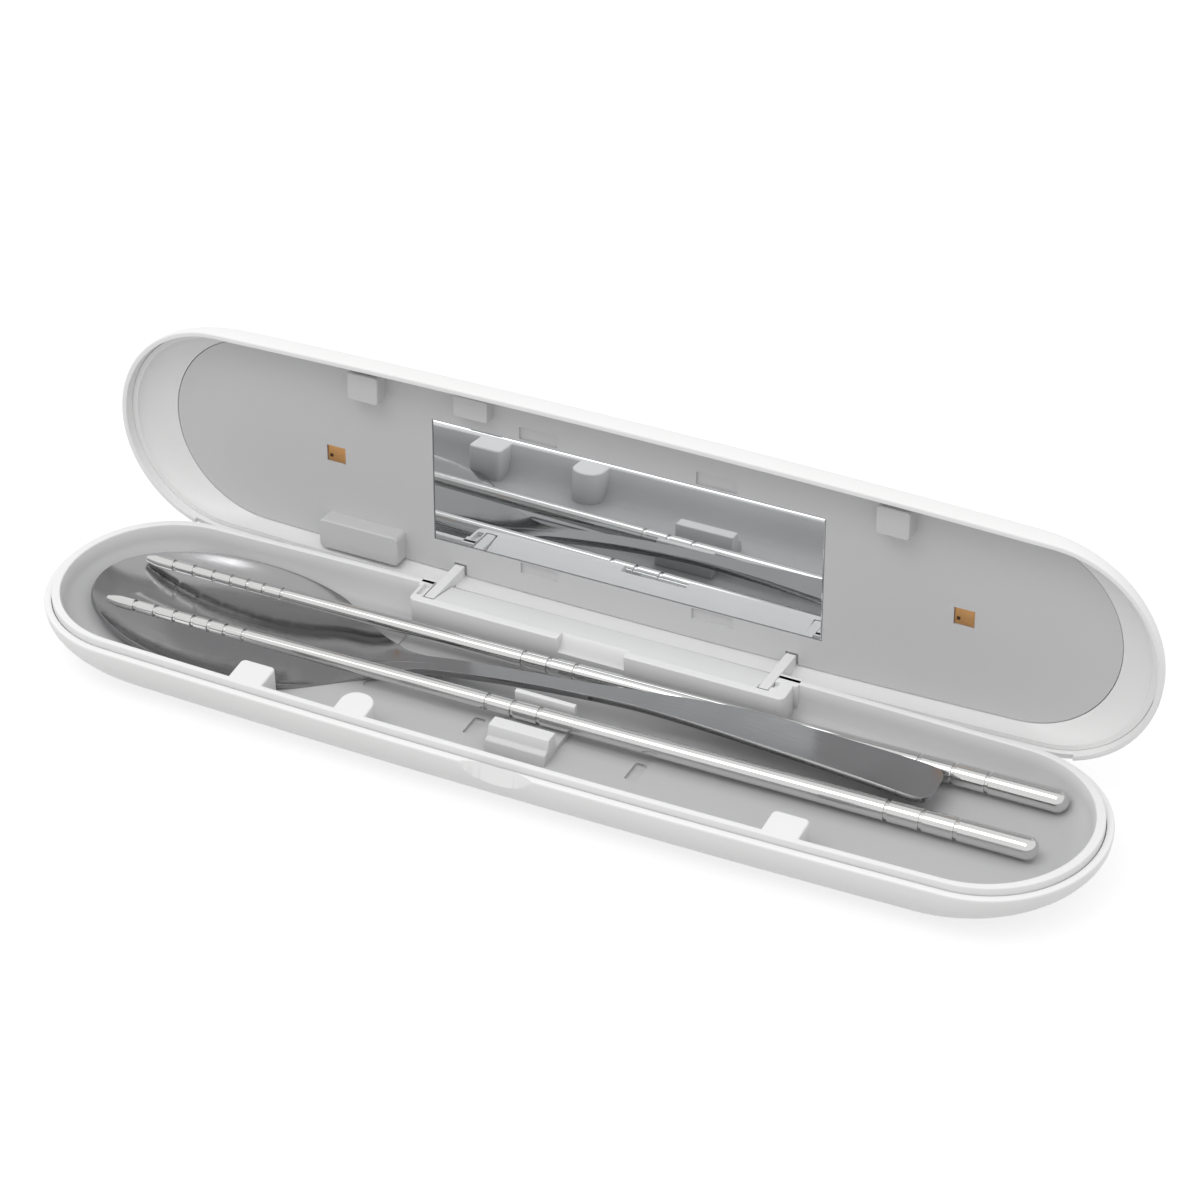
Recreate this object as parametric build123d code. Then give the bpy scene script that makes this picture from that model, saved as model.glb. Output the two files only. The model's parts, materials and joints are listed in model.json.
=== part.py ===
from build123d import *
import math
import os

# Sterilizer box for a chopstick and spoon set, standing on a table with its lid open.
# X runs along the box, Y to the hinge side, Z up. The origin is on the table under the middle.

# Driving sizes, millimetres.
case_length = 257.2
case_width = 56.7
end_radius = 26.8
bowl_steps = 12
base_depth = 13.0
base_corner = 12.0
base_end_stretch = 2.8
base_wall = 1.7
lid_depth = 14.5
lid_corner = 13.5
lid_end_stretch = 4.0
lid_wall = 1.3
foot_lift = 0.6
foot_depth = 0.6
foot_width = 5.0
foot_y = 12.4
foot_end_gap = 40.6

# Hinge. The lid stands open at this angle.
open_angle = 94.0
hinge_y = 26.0
hinge_drop = 2.5
pin_radius = 0.8
pin_fit = 0.05
pin_press = 0.02
pin_length = 8.0
arm_width = 2.4
arm_end_gaps = [85.8, 87.95]
arm_slot_gap = 0.25
arm_slot_radius = 7.6
hinge_end_gap = 81.1
notch_drop = 5.3
swing_radius = 4.7
edge_swing_radius = 3.6
edge_swing_gap = 18.6

# Tray.
tray_fit = 0.15
tray_wall = 1.3
lip_height = 1.8
lip_side_inset = 3.4
lip_end_inset = 4.0
floor_drop = 6.0
channel_depth = 0.35
slot_depth = 0.8
scoop_roller = 26.0
scoop_depth = 0.6
scoop_lean = -17.0
tab_width = 8.6
tab_reach = 7.0
tab_rise = 0.45
latch_end_gap = 63.6
sensor_place = -38.4
block_front = 17.9
ridge_back = 19.8
platform_fall = 0.24
clip_left = -9.9
clip_right = 5.0
well_gap = 0.5
well_floor_gap = 0.3
screw_radius = 1.0
screw_head_radius = 2.0
screw_head = 1.0
boss_radius = 3.0
magnet_radius = 2.0
magnet_height = 2.0
magnet_fit = 0.05
sensor_magnet_radius = 1.5
magnet_cover = 0.8

# Lid inside. Heights are above the rim of the base with the lid closed.
frame_low = 2.2
frame_high = 9.1
liner_depth = 6.6
liner_wall = 1.3
liner_side_inset = 3.5
liner_end_inset = 11.4
seam_gap = 0.15
flange_reach = 2.0
pad_depth = 8.7
mirror_length = 97.1
mirror_width = 31.4
mirror_thickness = 0.8
mirror_x = -0.85
mirror_y = 0.9
mirror_fit = 0.1
tape_thickness = 0.2
led_length = 4.7
led_width = 4.1
led_y = 1.0
led_board_z = 8.4
board_thickness = 1.0
main_board_z = 9.4
snap_recesses = [(-27.3, -17.7, -18.6, -15.4), (16.5, 26.4, -18.6, -15.4),
                 (-27.2, -17.7, 16.9, 19.8), (15.9, 26.1, 16.9, 19.8)]
board_screw_places = [(-19, -7), (-19, 9), (45, -7), (45, 9)]
wire_radius = 0.5
button_radius = 5.5
button_x = 0.0
button_proud = 0.4
plunger_radius = 1.5
lens_x = 14.0
lens_radius = 1.5
port_z = 6.4
port_width = 9.0
port_height = 3.2

# Cutlery.
chopstick_room = 30.2
grip_radius = 2.6
middle_radius = 2.1
tip_radius = 1.35
groove_width = 0.8
groove_depth = 0.35
tip_grooves = [7.8, 13.1, 18.3, 23.0, 27.3, 31.5, 36.3]
middle_grooves = [-15.5, -9.2, -2.7]
grip_grooves = [34.0, 26.0, 18.1]
chopstick_x = 0.8
chopstick_drop = 2.4
chopstick_yaw = 1.09
chopstick_tilt = 0.352
front_chopstick_y = -4.05
rear_chopstick_y = 13.4
spoon_end_gap = 47.1
spoon_y = 1.6
spoon_drop = 0.8
spoon_turn = -1.5
spoon_half_length = 38.4
spoon_half_width = 22.0
spoon_depth = 8.5
spoon_sheet = 1.1
spoon_rim_drop = 3.4
spoon_rim_slope = 2.1
neck_gap = 1.1
handle_end_gap = 40.4
handle_sheet = 1.6
handle_rise = 9.0
handle_drop = 4.2
handle_ease = 45.0
handle_bow = 4.35

# Sizes that follow from the ones above.
rim = foot_lift + base_depth
hinge_z = rim - hinge_drop
half_length = case_length / 2
half_width = case_width / 2
radius_share = end_radius / half_width
tray_inset = base_wall + tray_fit
tray_floor = rim - floor_drop
tab_back = half_width - lip_side_inset
latch_y = 3.9 - tab_back
foot_rows = [-foot_y, 0, foot_y]
foot_half_length = half_length - foot_end_gap
screw_places = [-30.0, foot_half_length - 10]
latch_places = [latch_end_gap - half_length, half_length - latch_end_gap]
arm_places = [arm_end_gaps[0] - half_length, half_length - arm_end_gaps[1]]
hinge_zone = half_length - hinge_end_gap
block_left = arm_places[0] - 4.2
block_right = arm_places[1] + 5.85
arm_half_slot = arm_width / 2 + arm_slot_gap
liner_top = liner_depth + liner_wall
lid_clear = lid_depth - lid_wall
led_places = [53.8 - half_length, half_length - 47.7]
port_x = led_places[0] + 8.1
battery_left = led_places[0] + 8.8
chopstick_length = case_length - chopstick_room
spoon_x = spoon_end_gap - half_length
neck_x = spoon_x + spoon_half_length + neck_gap
handle_end = half_length - handle_end_gap


# Outline helpers.

# Face of the case outline: two end arcs joined by two slightly bowed side arcs.
def oval(a, b, z):
    r = b * radius_share
    side = ((a - r) ** 2 + b * b - r * r) / (2 * (b - r))
    ex, ey = a - r, side - b
    reach = math.hypot(ex, ey)
    tx, ty = ex + r * ex / reach, r * ey / reach
    right = ThreePointArc((tx, -ty), (a, 0), (tx, ty))
    back = ThreePointArc((tx, ty), (0, b), (-tx, ty))
    left = ThreePointArc((-tx, ty), (-a, 0), (-tx, -ty))
    front = ThreePointArc((-tx, -ty), (0, -b), (tx, -ty))
    return Pos(0, 0, z) * make_face([right, back, left, front])


# Solid bowl from the rim at z 0 to its flat bottom, down for way -1 and up for way 1.
def bowl(depth, corner, stretch, inset, way):
    radius = corner - inset
    sections = []
    for step in range(bowl_steps + 1):
        turn = math.pi / 2 * step / bowl_steps
        run = radius * (1 - math.cos(turn))
        z = way * (depth - radius + radius * math.sin(turn))
        sections.append(oval(half_length - inset - stretch * run, half_width - inset - run, z))
    return loft(sections) + extrude(sections[0], -way * (depth - radius))


# Solid with a side view given by (y, z) points, from x0 to x1.
def prism(points, x0, x1):
    side = Plane.YZ * make_face(Polyline(*points, close=True))
    return Pos(x0, 0, 0) * extrude(side, x1 - x0)


def block(x0, x1, y0, y1, z0, z1):
    return Pos((x0 + x1) / 2, (y0 + y1) / 2, (z0 + z1) / 2) * Box(x1 - x0, y1 - y0, z1 - z0)


def rod(x, y, z0, z1, radius):
    return Pos(x, y, (z0 + z1) / 2) * Cylinder(radius, z1 - z0)


def along_x(x0, x1, y, z, radius):
    return Pos((x0 + x1) / 2, y, z) * Rot(0, 90, 0) * Cylinder(radius, x1 - x0)


# Solid ellipsoid about the middle of the spoon's bowl, flat across its widest level.
def ellipsoid(a, b, c):
    quarter = make_face([Line((0, 0), (1, 0)), ThreePointArc((1, 0), (0.5 ** 0.5, -(0.5 ** 0.5)), (0, -1)),
                         Line((0, -1), (0, 0))])
    half_ball = revolve(Plane.XZ * quarter, Axis.Z)
    stretched = scale(half_ball, (a, b, c))
    return Pos(spoon_x, spoon_y, rim - spoon_drop) * Rot(0, 0, spoon_turn) * stretched


# The lid is drawn closed, then turned about its hinge to stand open as in the photo.
def opened(piece):
    turn = Pos(0, hinge_y, hinge_z) * Rot(-open_angle, 0, 0) * Pos(0, -hinge_y, -hinge_z)
    return turn * piece


# Round lead along a route of straight runs joined by arcs.
def wire(points, radii, radius):
    route = FilletPolyline(*points, radius=radii)
    section = Plane(origin=points[0], z_dir=Vector(*points[1]) - Vector(*points[0])) * Circle(radius)
    return sweep(section, path=route)


# Hinge: two arms on the lid turn on short steel pins held in the tray.

# Hooked arm, side view drawn with the lid closed and measured from the pin.
def arm(x):
    side = [(-3.87, -6.37), (-4.12, 8.85), (-0.6, 8.85), (0.4, 4.7), (1.9, 3.1), (2.2, 0.0),
            (1.6, -1.6), (-0.3, -2.0)]
    placed = [(hinge_y + y, hinge_z + z) for y, z in side]
    body = prism(placed, x - arm_width / 2, x + arm_width / 2)
    body += along_x(x - arm_width / 2, x + arm_width / 2, hinge_y, hinge_z, 2.3)
    return body - along_x(x - arm_width, x + arm_width, hinge_y, hinge_z, pin_radius + pin_fit)


def hinge_pins():
    half = pin_length / 2
    return [along_x(x - half, x + half, hinge_y, hinge_z, pin_radius) for x in arm_places]


# Base.

# Everything inside the outer skin of the base, with the lip height added on top.
def base_envelope():
    skin = Pos(0, 0, rim) * bowl(base_depth, base_corner, base_end_stretch, 0, -1)
    return skin + extrude(oval(half_length, half_width, rim), lip_height)


# Everything inside the outer face of the tray, which sits in the base shell.
def tray_envelope(extra):
    skin = Pos(0, 0, rim) * bowl(base_depth - tray_inset, base_corner, base_end_stretch, tray_inset, -1)
    return skin + extrude(oval(half_length - tray_inset, half_width - tray_inset, rim), lip_height + extra)


def foot_strip(y, z0, z1, width):
    strip = SlotOverall(2 * foot_half_length + width, width)
    return Pos(0, y, z0) * extrude(strip, z1 - z0)


# Shallow thumb hollow in the front of the rim, leaning so that it runs out below.
def finger_scoop():
    roller = Pos(-0.6, -half_width - scoop_roller + scoop_depth, rim) * Rot(scoop_lean, 0, 0)
    return roller * Cylinder(scoop_roller, 16)


def base_shell():
    shell = Pos(0, 0, rim) * bowl(base_depth, base_corner, base_end_stretch, 0, -1)
    shell -= Pos(0, 0, rim) * bowl(base_depth - base_wall, base_corner, base_end_stretch, base_wall, -1)
    shell -= block(-hinge_zone, hinge_zone, 22, 32, rim - notch_drop, rim + 1)
    shell -= finger_scoop()
    floor = foot_lift + base_wall
    for x in screw_places:
        for y in (-foot_y, foot_y):
            shell += rod(x, y, floor - 0.1, floor + screw_head + 0.6, boss_radius)
    for y in foot_rows:
        shell -= foot_strip(y, 0, foot_lift + foot_depth, foot_width + 0.1)
    for x in screw_places:
        for y in (-foot_y, foot_y):
            shell -= rod(x, y, 0, floor + 0.2, screw_head_radius + 0.1)
            shell -= rod(x, y, 0, floor + 3, screw_radius + 0.1)
    return shell


def base_feet():
    return [foot_strip(y, 0, foot_lift + foot_depth, foot_width) for y in foot_rows]


def base_screws():
    head_top = foot_lift + base_wall + 0.2
    screws = []
    for x in screw_places:
        for y in (-foot_y, foot_y):
            screw = rod(x, y, head_top - screw_head, head_top, screw_head_radius)
            screws.append(screw + rod(x, y, head_top, tray_floor - 0.7, screw_radius))
    return screws


# Hollow of the tray: steep at the lip, rounding into the floor.
def tray_cavity():
    sections = []
    for drop, end, side in ((-lip_height - 0.01, 0, 0), (1.0, 0.5, 0.2), (3.4, 1.8, 0.6),
                            (5.0, 3.6, 1.4), (5.7, 5.4, 2.4), (floor_drop, 8.0, 4.0)):
        sections.append(oval(half_length - lip_end_inset - end,
                             half_width - lip_side_inset - side, rim - drop))
    return loft(sections)


def tab(x0, x1, y0, y1, z0, z1, corner):
    shape = RectangleRounded(x1 - x0, y1 - y0, corner)
    return Pos((x0 + x1) / 2, (y0 + y1) / 2, z0) * extrude(shape, z1 - z0)


# Tabs on the front lip, their tops rising a little from the lip to their ends.
def tray_tabs():
    low = tray_floor - 0.5
    top = rim + lip_height
    over = prism([(-tab_back - 5, top), (-tab_back, top), (tab_reach - tab_back, top + tab_rise),
                  (tab_reach - tab_back, top + 3), (-tab_back - 5, top + 3)], -half_length, half_length)
    tabs = []
    for x in latch_places:
        tabs.append(tab(x - tab_width / 2, x + tab_width / 2, -tab_back - 1, tab_reach - tab_back,
                        low, top + tab_rise, 1.2) - over)
    tabs.append(tab(sensor_place - 4, sensor_place + 4, -tab_back - 4, tab_reach - tab_back,
                    low, top + tab_rise, 3.9) - over)
    return tabs


# Level of the sloping top of the hinge block, between the arms.
def platform_level(y):
    return rim + lip_height - platform_fall * (y - ridge_back)


def tray_hinge_block():
    body = block(block_left, block_right, block_front, 30, tray_floor - 1, rim + lip_height)
    body = fillet(body.edges().filter_by(Axis.Z).group_by(Axis.Y)[0], 1.5)
    flange = block(-hinge_zone + 0.2, hinge_zone - 0.2, 23.5, 30, rim - notch_drop + 0.2, rim + lip_height)
    # behind the lip the block falls away towards the lid
    behind = ridge_back + 6.7
    points = [(behind, rim + 5), (behind, platform_level(behind)), (32, platform_level(32)), (32, rim + 5)]
    fall = prism(points, -hinge_zone - 1, hinge_zone + 1)
    return (body & tray_envelope(0)) + (flange & base_envelope()) - fall


# What is cut away above the slope between the arms.
def platform_hollow():
    points = [(ridge_back, platform_level(ridge_back)), (32, platform_level(32)), (32, rim + 5),
              (ridge_back, rim + 5)]
    return prism(points, arm_places[0] + arm_half_slot, arm_places[1] - arm_half_slot)


def clip_side(points):
    return prism([(y, rim + z) for y, z in points], clip_left, clip_right)


# Upright clip that holds the front chopstick: a thick stepped prong and a thin one.
def tray_clip():
    low = -floor_drop - 0.5
    front = clip_side([(-10.4, low), (-10.4, -0.4), (-13.6, -0.4), (-14.5, -2.9), (-15.7, -3.3),
                       (-16.4, low)])
    rear = clip_side([(-1.2, low), (-1.2, 0.1), (0.1, 0.1), (0.6, low)])
    seat = clip_side([(-10.6, low), (-10.6, -4.75), (-1.0, -4.75), (-1.0, low)])
    return front + rear + seat


# Dished recess in the tray floor for the bowl of the spoon, grown by the wall around it.
def spoon_well(grow):
    extra = well_gap + grow
    dish = ellipsoid(spoon_half_length + extra, spoon_half_width + extra, spoon_depth + extra)
    low = rim - spoon_drop - spoon_depth - well_floor_gap - grow
    return dish & block(-case_length, 0, -case_width, case_width, low, tray_floor + 0.2)


def base_tray():
    envelope = tray_envelope(0)
    floor_bottom = tray_floor - tray_wall
    tray = envelope & block(-case_length, case_length, -case_width, case_width, floor_bottom, rim + 3)
    tray += spoon_well(tray_wall)
    tray -= tray_cavity()
    tray -= spoon_well(0)
    tray -= block(neck_x - 4, 25.2, -6.3, 16, tray_floor - channel_depth, tray_floor + 1)
    tray += tray_hinge_block()
    tray -= platform_hollow()
    tray += tray_clip()
    for piece in tray_tabs():
        tray += piece & tray_envelope(tab_rise)
    for x in screw_places:
        for y in (-foot_y, foot_y):
            boss_bottom = foot_lift + base_wall + screw_head + 0.6
            tray += rod(x, y, boss_bottom, floor_bottom + 0.1, boss_radius - 0.2)
            tray -= rod(x, y, 0, tray_floor - 0.6, screw_radius + 0.02)
    # hollow ramp for a finger in the front of the hinge block
    ramp = [(21.4, 1.9), (17, 1.9), (17, -2.2), (18.3, -1.9), (19.3, -0.9), (20.4, 0.9)]
    tray -= prism([(y, rim + z) for y, z in ramp], -9.0, 7.6)
    for x in (-15.9, 23.8):
        tray -= block(x - 1.5, x + 1.5, -12.3, -6.3, tray_floor - slot_depth, tray_floor + 1)
    for x in arm_places:
        half = arm_half_slot
        tray -= along_x(x - half, x + half, hinge_y, hinge_z, arm_slot_radius)
        tray -= block(x - half, x + half, hinge_y, 32, hinge_z - 3.2, rim + 3)
        reach = pin_length / 2 + 0.2
        tray -= along_x(x - reach, x + reach, hinge_y, hinge_z, pin_radius + pin_press)
    for x, y0, y1 in ((arm_places[0] - 2.55, 20.2, 24.6), (arm_places[1] + half + 0.5, 21.2, 23.4)):
        tray -= block(x - 0.8, x + 0.8, y0, y1, rim + lip_height - 1.1, rim + 3)
    top = rim + lip_height - magnet_cover
    for x in latch_places:
        tray -= rod(x, latch_y, foot_lift, top, magnet_radius + magnet_fit)
    return tray - rod(sensor_place, latch_y, foot_lift, top, sensor_magnet_radius + magnet_fit)


def base_latch_magnets():
    top = rim + lip_height - magnet_cover
    return [rod(x, latch_y, top - magnet_height, top, magnet_radius) for x in latch_places]


def sensor_magnet():
    top = rim + lip_height - magnet_cover
    return [rod(sensor_place, latch_y, top - magnet_height, top, sensor_magnet_radius)]


# Lid, drawn closed. Heights are above the rim of the base.

def above(height):
    return rim + height


# Room for the hinge block of the tray, and for the base rim as the lid swings down behind it.
def lid_reliefs(piece):
    zone = hinge_zone + 0.3
    piece -= along_x(-zone, arm_places[0] + arm_half_slot, hinge_y, hinge_z, swing_radius)
    piece -= along_x(arm_places[1] - arm_half_slot, zone, hinge_y, hinge_z, swing_radius)
    edge = half_length - edge_swing_gap
    return piece - along_x(-edge, edge, hinge_y, hinge_z, edge_swing_radius)


def port_hole():
    face = RectangleRounded(port_width + 0.6, port_height + 0.6, (port_height + 0.6) / 2 - 0.05)
    return Pos(port_x, 30, above(port_z)) * Rot(90, 0, 0) * extrude(face, 7.5)


def lid_shell():
    shell = Pos(0, 0, rim) * bowl(lid_depth, lid_corner, lid_end_stretch, 0, 1)
    shell -= Pos(0, 0, rim) * bowl(lid_depth - lid_wall, lid_corner, lid_end_stretch, lid_wall, 1)
    shell = lid_reliefs(shell)
    shell -= rod(button_x, 0, above(lid_clear - 1), above(lid_depth + 1), button_radius + 0.1)
    shell -= rod(lens_x, 0, above(lid_clear - 1), above(lid_depth + 1), lens_radius + 0.05)
    return shell - port_hole()


# Ring inside the lid that carries the liner, with the two hinge arms.
def lid_frame():
    inset = lid_wall + 0.15
    lid_room = Pos(0, 0, rim) * bowl(lid_depth - inset, lid_corner, lid_end_stretch, inset, 1)
    ring = lid_room & block(-case_length, case_length, -case_width, case_width,
                            above(frame_low), above(frame_high))
    sections = []
    for height, end, side in ((frame_low - 0.01, 3.0, 2.6), (4.4, 5.6, 2.8), (5.8, 8.8, 3.1),
                              (liner_depth + 0.01, liner_end_inset - seam_gap, liner_side_inset - seam_gap)):
        sections.append(oval(half_length - end, half_width - side, above(height)))
    ring -= loft(sections)
    seat = oval(half_length - liner_end_inset + seam_gap, half_width - liner_side_inset + seam_gap,
                above(liner_depth))
    ring -= extrude(seat, liner_wall)
    flange = oval(half_length - liner_end_inset - flange_reach,
                  half_width - liner_side_inset - flange_reach,
                  above(liner_top - 0.1))
    ring -= extrude(flange, frame_high)
    fairing = prism([(24.47, above(1.0)), (half_width - liner_side_inset + seam_gap, above(liner_depth)),
                     (27.2, above(liner_depth)), (27.2, above(1.0))], arm_places[0], arm_places[1])
    ring += fairing & lid_room
    ring = lid_reliefs(ring)
    ring -= block(port_x - 9.5, port_x + 9.5, 19, 25.3, above(liner_top), above(frame_high + 1))
    ring -= block(port_x - port_width / 2 - 0.2, port_x + port_width / 2 + 0.2, 24, 30,
                  above(port_z - port_height / 2 - 0.2), above(port_z + port_height / 2 + 0.2))
    for x in arm_places:
        ring += arm(x)
    return ring


def lid_liner():
    outline = oval(half_length - liner_end_inset, half_width - liner_side_inset, above(liner_depth))
    plate = extrude(outline, liner_wall)
    plate += block(-50, 50, -17, 18.8, above(liner_depth + 0.4), above(pad_depth))
    plate += block(battery_left - 2, -45, -11, 11, above(liner_depth + 0.4), above(pad_depth))
    for x in latch_places:
        plate += tab(x - 3.9, x + 3.9, -24.2, -17.2, above(2.4), above(liner_depth + 0.3), 0.9)
    plate += tab(-42.4, -33.8, -24.4, -19.0, above(3.6), above(liner_depth + 0.3), 0.5)
    plate += tab(port_x - 11.0, port_x + 9.7, 16.7, 24.2, above(2.4), above(liner_depth + 0.3), 1.2)
    plate -= block(port_x - 8.6, port_x + 8.5, 17.9, 26, above(3.6), above(liner_top + 0.1))
    mirror_deep = liner_depth + tape_thickness + mirror_thickness
    plate -= block(mirror_x - mirror_length / 2 - mirror_fit, mirror_x + mirror_length / 2 + mirror_fit,
                   mirror_y - mirror_width / 2 - mirror_fit, mirror_y + mirror_width / 2 + mirror_fit,
                   above(liner_depth - 1), above(mirror_deep))
    for x in led_places:
        plate -= block(x - led_length / 2 - 0.1, x + led_length / 2 + 0.1, led_y - led_width / 2 - 0.1,
                       led_y + led_width / 2 + 0.1, above(liner_depth - 1), above(liner_top + 1))
        for side in (-1, 1):
            plate += rod(x + side * 4.5, led_y, above(liner_top - 0.2), above(led_board_z), 0.9)
    for x0, x1, y0, y1 in snap_recesses:
        plate -= block(x0, x1, y0, y1, above(liner_depth - 1), above(liner_depth + 0.6))
    for x, y in board_screw_places:
        plate += rod(x, y, above(pad_depth - 0.2), above(main_board_z), 1.8)
        plate -= rod(x, y, above(liner_top + 0.3), above(main_board_z + 1), 0.82)
    for x in latch_places:
        plate -= rod(x, latch_y, above(3.2), above(liner_top + 1), magnet_radius + magnet_fit)
    plate -= block(sensor_place - 1.3, sensor_place + 1.9, -23.4, -20.2, above(4.8), above(liner_top + 1))
    return plate


def mirror_tape():
    size = (mirror_length - 2, mirror_width - 2)
    low = above(liner_depth + mirror_thickness)
    return [Pos(mirror_x, mirror_y, low) * extrude(Rectangle(*size), tape_thickness)]


def mirror():
    plate = extrude(Rectangle(mirror_length, mirror_width), mirror_thickness)
    return [Pos(mirror_x, mirror_y, above(liner_depth)) * chamfer(plate.edges().group_by(Axis.Z)[0], 0.2)]


# Square lamp packages with a shallow round well around the emitter.
def uv_leds():
    lamps = []
    for x in led_places:
        low = above(liner_depth + 0.3)
        lamp = block(x - led_length / 2, x + led_length / 2, led_y - led_width / 2, led_y + led_width / 2,
                     low, above(led_board_z))
        lamp -= rod(x, led_y, low - 0.1, low + 0.3, 1.3)
        lamps.append(lamp + block(x - 0.6, x + 0.6, led_y - 0.6, led_y + 0.6, low + 0.1, low + 0.5))
    return lamps


def led_boards():
    top = above(led_board_z + board_thickness)
    boards = []
    for x in led_places:
        board = tab(x - 6, x + 6, led_y - 4.5, led_y + 4.5, above(led_board_z), top, 0.8)
        boards.append(board)
    return boards


def main_board():
    board = tab(-22, 48, -10, 12, above(main_board_z), above(main_board_z + board_thickness), 1.0)
    for x, y in board_screw_places:
        board -= rod(x, y, above(main_board_z - 1), above(main_board_z + 2), 0.95)
    return board


def board_screws():
    top = above(main_board_z + board_thickness)
    return [rod(x, y, above(liner_top + 0.4), top, 0.8) + rod(x, y, top, top + 0.9, 1.6)
            for x, y in board_screw_places]


def board_chips():
    top = above(main_board_z + board_thickness)
    chips = [block(22, 28, -4, 2, top, top + 1.1), block(31, 36, -3, 1, top, top + 1.2),
             block(24, 31, 5.5, 9, top, top + 1.5)]
    for x in (33.5, 36.5, 39.5):
        chips.append(block(x - 0.8, x + 0.8, 5.5, 6.5, top, top + 0.6))
    return chips


def button_switch():
    low = above(main_board_z + board_thickness)
    body = block(button_x - 3, button_x + 3, -3, 3, low, low + 1.45)
    return body - rod(button_x, 0, low + 0.6, low + 2, plunger_radius + 0.1)


def switch_plunger():
    top = above(main_board_z + board_thickness + 1.95)
    return [rod(button_x, 0, top - 0.75, top, plunger_radius)]


def power_button():
    low = above(main_board_z + board_thickness + 2.05)
    cap = rod(button_x, 0, low, above(lid_depth + button_proud), button_radius)
    cap = fillet(cap.edges().group_by(Axis.Z)[-1], 0.5)
    return cap + rod(button_x, 0, low, above(lid_clear - 0.2), button_radius + 1.1)


def indicator_lens():
    lens = rod(lens_x, 0, above(main_board_z + board_thickness + 0.8), above(lid_depth), lens_radius)
    return lens + rod(lens_x, 0, above(lid_clear - 0.9), above(lid_clear - 0.1), lens_radius + 0.8)


def indicator_led():
    low = above(main_board_z + board_thickness)
    return block(lens_x - 0.8, lens_x + 0.8, -0.5, 0.5, low, low + 0.7)


def battery():
    cell = block(battery_left, -25, -10, 10, above(pad_depth + 0.2), above(12.5))
    return fillet(cell.edges().filter_by(Axis.X), 1.4)


def battery_tape():
    return block(battery_left + 4, -30, -7, 7, above(pad_depth), above(pad_depth + 0.2))


# Metal shell of the charging socket with its tongue.
def charge_port():
    shell = SlotOverall(port_width, port_height)
    bore = SlotOverall(port_width - 0.6, port_height - 0.6)
    socket = extrude(shell, 7.4) - Pos(0, 0, -0.1) * extrude(bore, 6.3)
    socket += Pos(0, 0, 1.2) * extrude(Rectangle(6.6, 0.7), 5.4)
    return Pos(port_x, 27.0, above(port_z)) * Rot(90, 0, 0) * socket


def charge_board():
    return block(port_x - 7.8, port_x + 7.8, 13.0, 23.1, above(port_z + port_height / 2),
                 above(port_z + port_height / 2 + board_thickness))


def lid_latch_magnets():
    return [rod(x, latch_y, above(3.2), above(3.2 + magnet_height), magnet_radius) for x in latch_places]


def lid_sensor():
    return block(sensor_place - 1.2, sensor_place + 1.8, -23.3, -20.3, above(4.8), above(5.8))


# Two equal leads side by side, the second moved by the gap.
def pair(points, radii, gap):
    first = wire(points, radii, wire_radius)
    return [first, Pos(*gap) * first]


def led_leads():
    start = above(led_board_z + board_thickness + wire_radius)
    end = above(main_board_z + board_thickness + wire_radius)
    left = [(led_places[0] + 2.8, -2.0, start), (led_places[0] + 7.8, -12.8, start),
            (-25.0, -12.8, end + 0.6), (-12.0, -8.2, end)]
    right = [(led_places[1] - 3.9, -1.0, start), (led_places[1] - 12.9, -4.0, start),
             (55.0, -4.0, end + 0.3), (44.0, -2.0, end)]
    return pair(left, [3, 3], (0, -1.3, 0)) + pair(right, [3, 3], (0, 1.3, 0))


def battery_leads():
    end = above(main_board_z + board_thickness + wire_radius)
    return pair([(-24.9, 3.0, end), (-22.5, 3.0, end + 0.6), (-17.0, 3.0, end)], [2], (0, 1.3, 0))


def charge_leads():
    start = above(port_z + port_height / 2 + board_thickness + wire_radius)
    end = above(main_board_z + board_thickness + wire_radius)
    return pair([(port_x + 4.7, 14.4, start), (-26.0, 13.8, end + 0.7), (-12.0, 9.6, end)], [3], (0, 1.3, 0))


def sensor_leads():
    end = above(main_board_z + board_thickness + wire_radius)
    route = [(-38.6, -21.8, above(5.8)), (-38.6, -21.8, above(9.8)), (-24.0, -16.5, end + 0.5),
             (-8.0, -9.0, end)]
    return pair(route, [2, 3], (1.3, 0, 0))


# Cutlery.

# Profile points, (distance from the tip, radius), for a row of turned grooves.
def groove_outline(places):
    points = []
    for place in places:
        r = shaft_radius(place)
        points += [(place - groove_width / 2, r), (place - groove_width / 2, r - groove_depth),
                   (place + groove_width / 2, r - groove_depth), (place + groove_width / 2, r)]
    return points


def shaft_radius(distance):
    half = chopstick_length / 2
    if distance < half:
        return tip_radius + (middle_radius - tip_radius) * distance / half
    return middle_radius + (grip_radius - middle_radius) * (distance / half - 1)


# Round stick lying along X, tip to the left.
def chopstick(y):
    outline = [(0, 0), (0, 0.55), (0.35, 0.8), (3.4, shaft_radius(3.4))]
    middle = chopstick_length / 2
    places = tip_grooves + [middle + g for g in middle_grooves]
    places += [chopstick_length - g for g in grip_grooves]
    outline += groove_outline(places)
    shoulder = chopstick_length - grip_radius
    outline.append((shoulder, grip_radius))
    cap_mid = (shoulder + grip_radius * math.sin(math.pi / 4), grip_radius * math.cos(math.pi / 4))
    profile = [Polyline(*outline), ThreePointArc((shoulder, grip_radius), cap_mid, (chopstick_length, 0)),
               Line((chopstick_length, 0), (0, 0))]
    stick = revolve(make_face(profile), Axis.X)
    lying = Rot(0, chopstick_tilt, chopstick_yaw) * Pos(-middle, 0, 0) * stick
    return Pos(chopstick_x, y, rim - chopstick_drop) * lying


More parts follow.
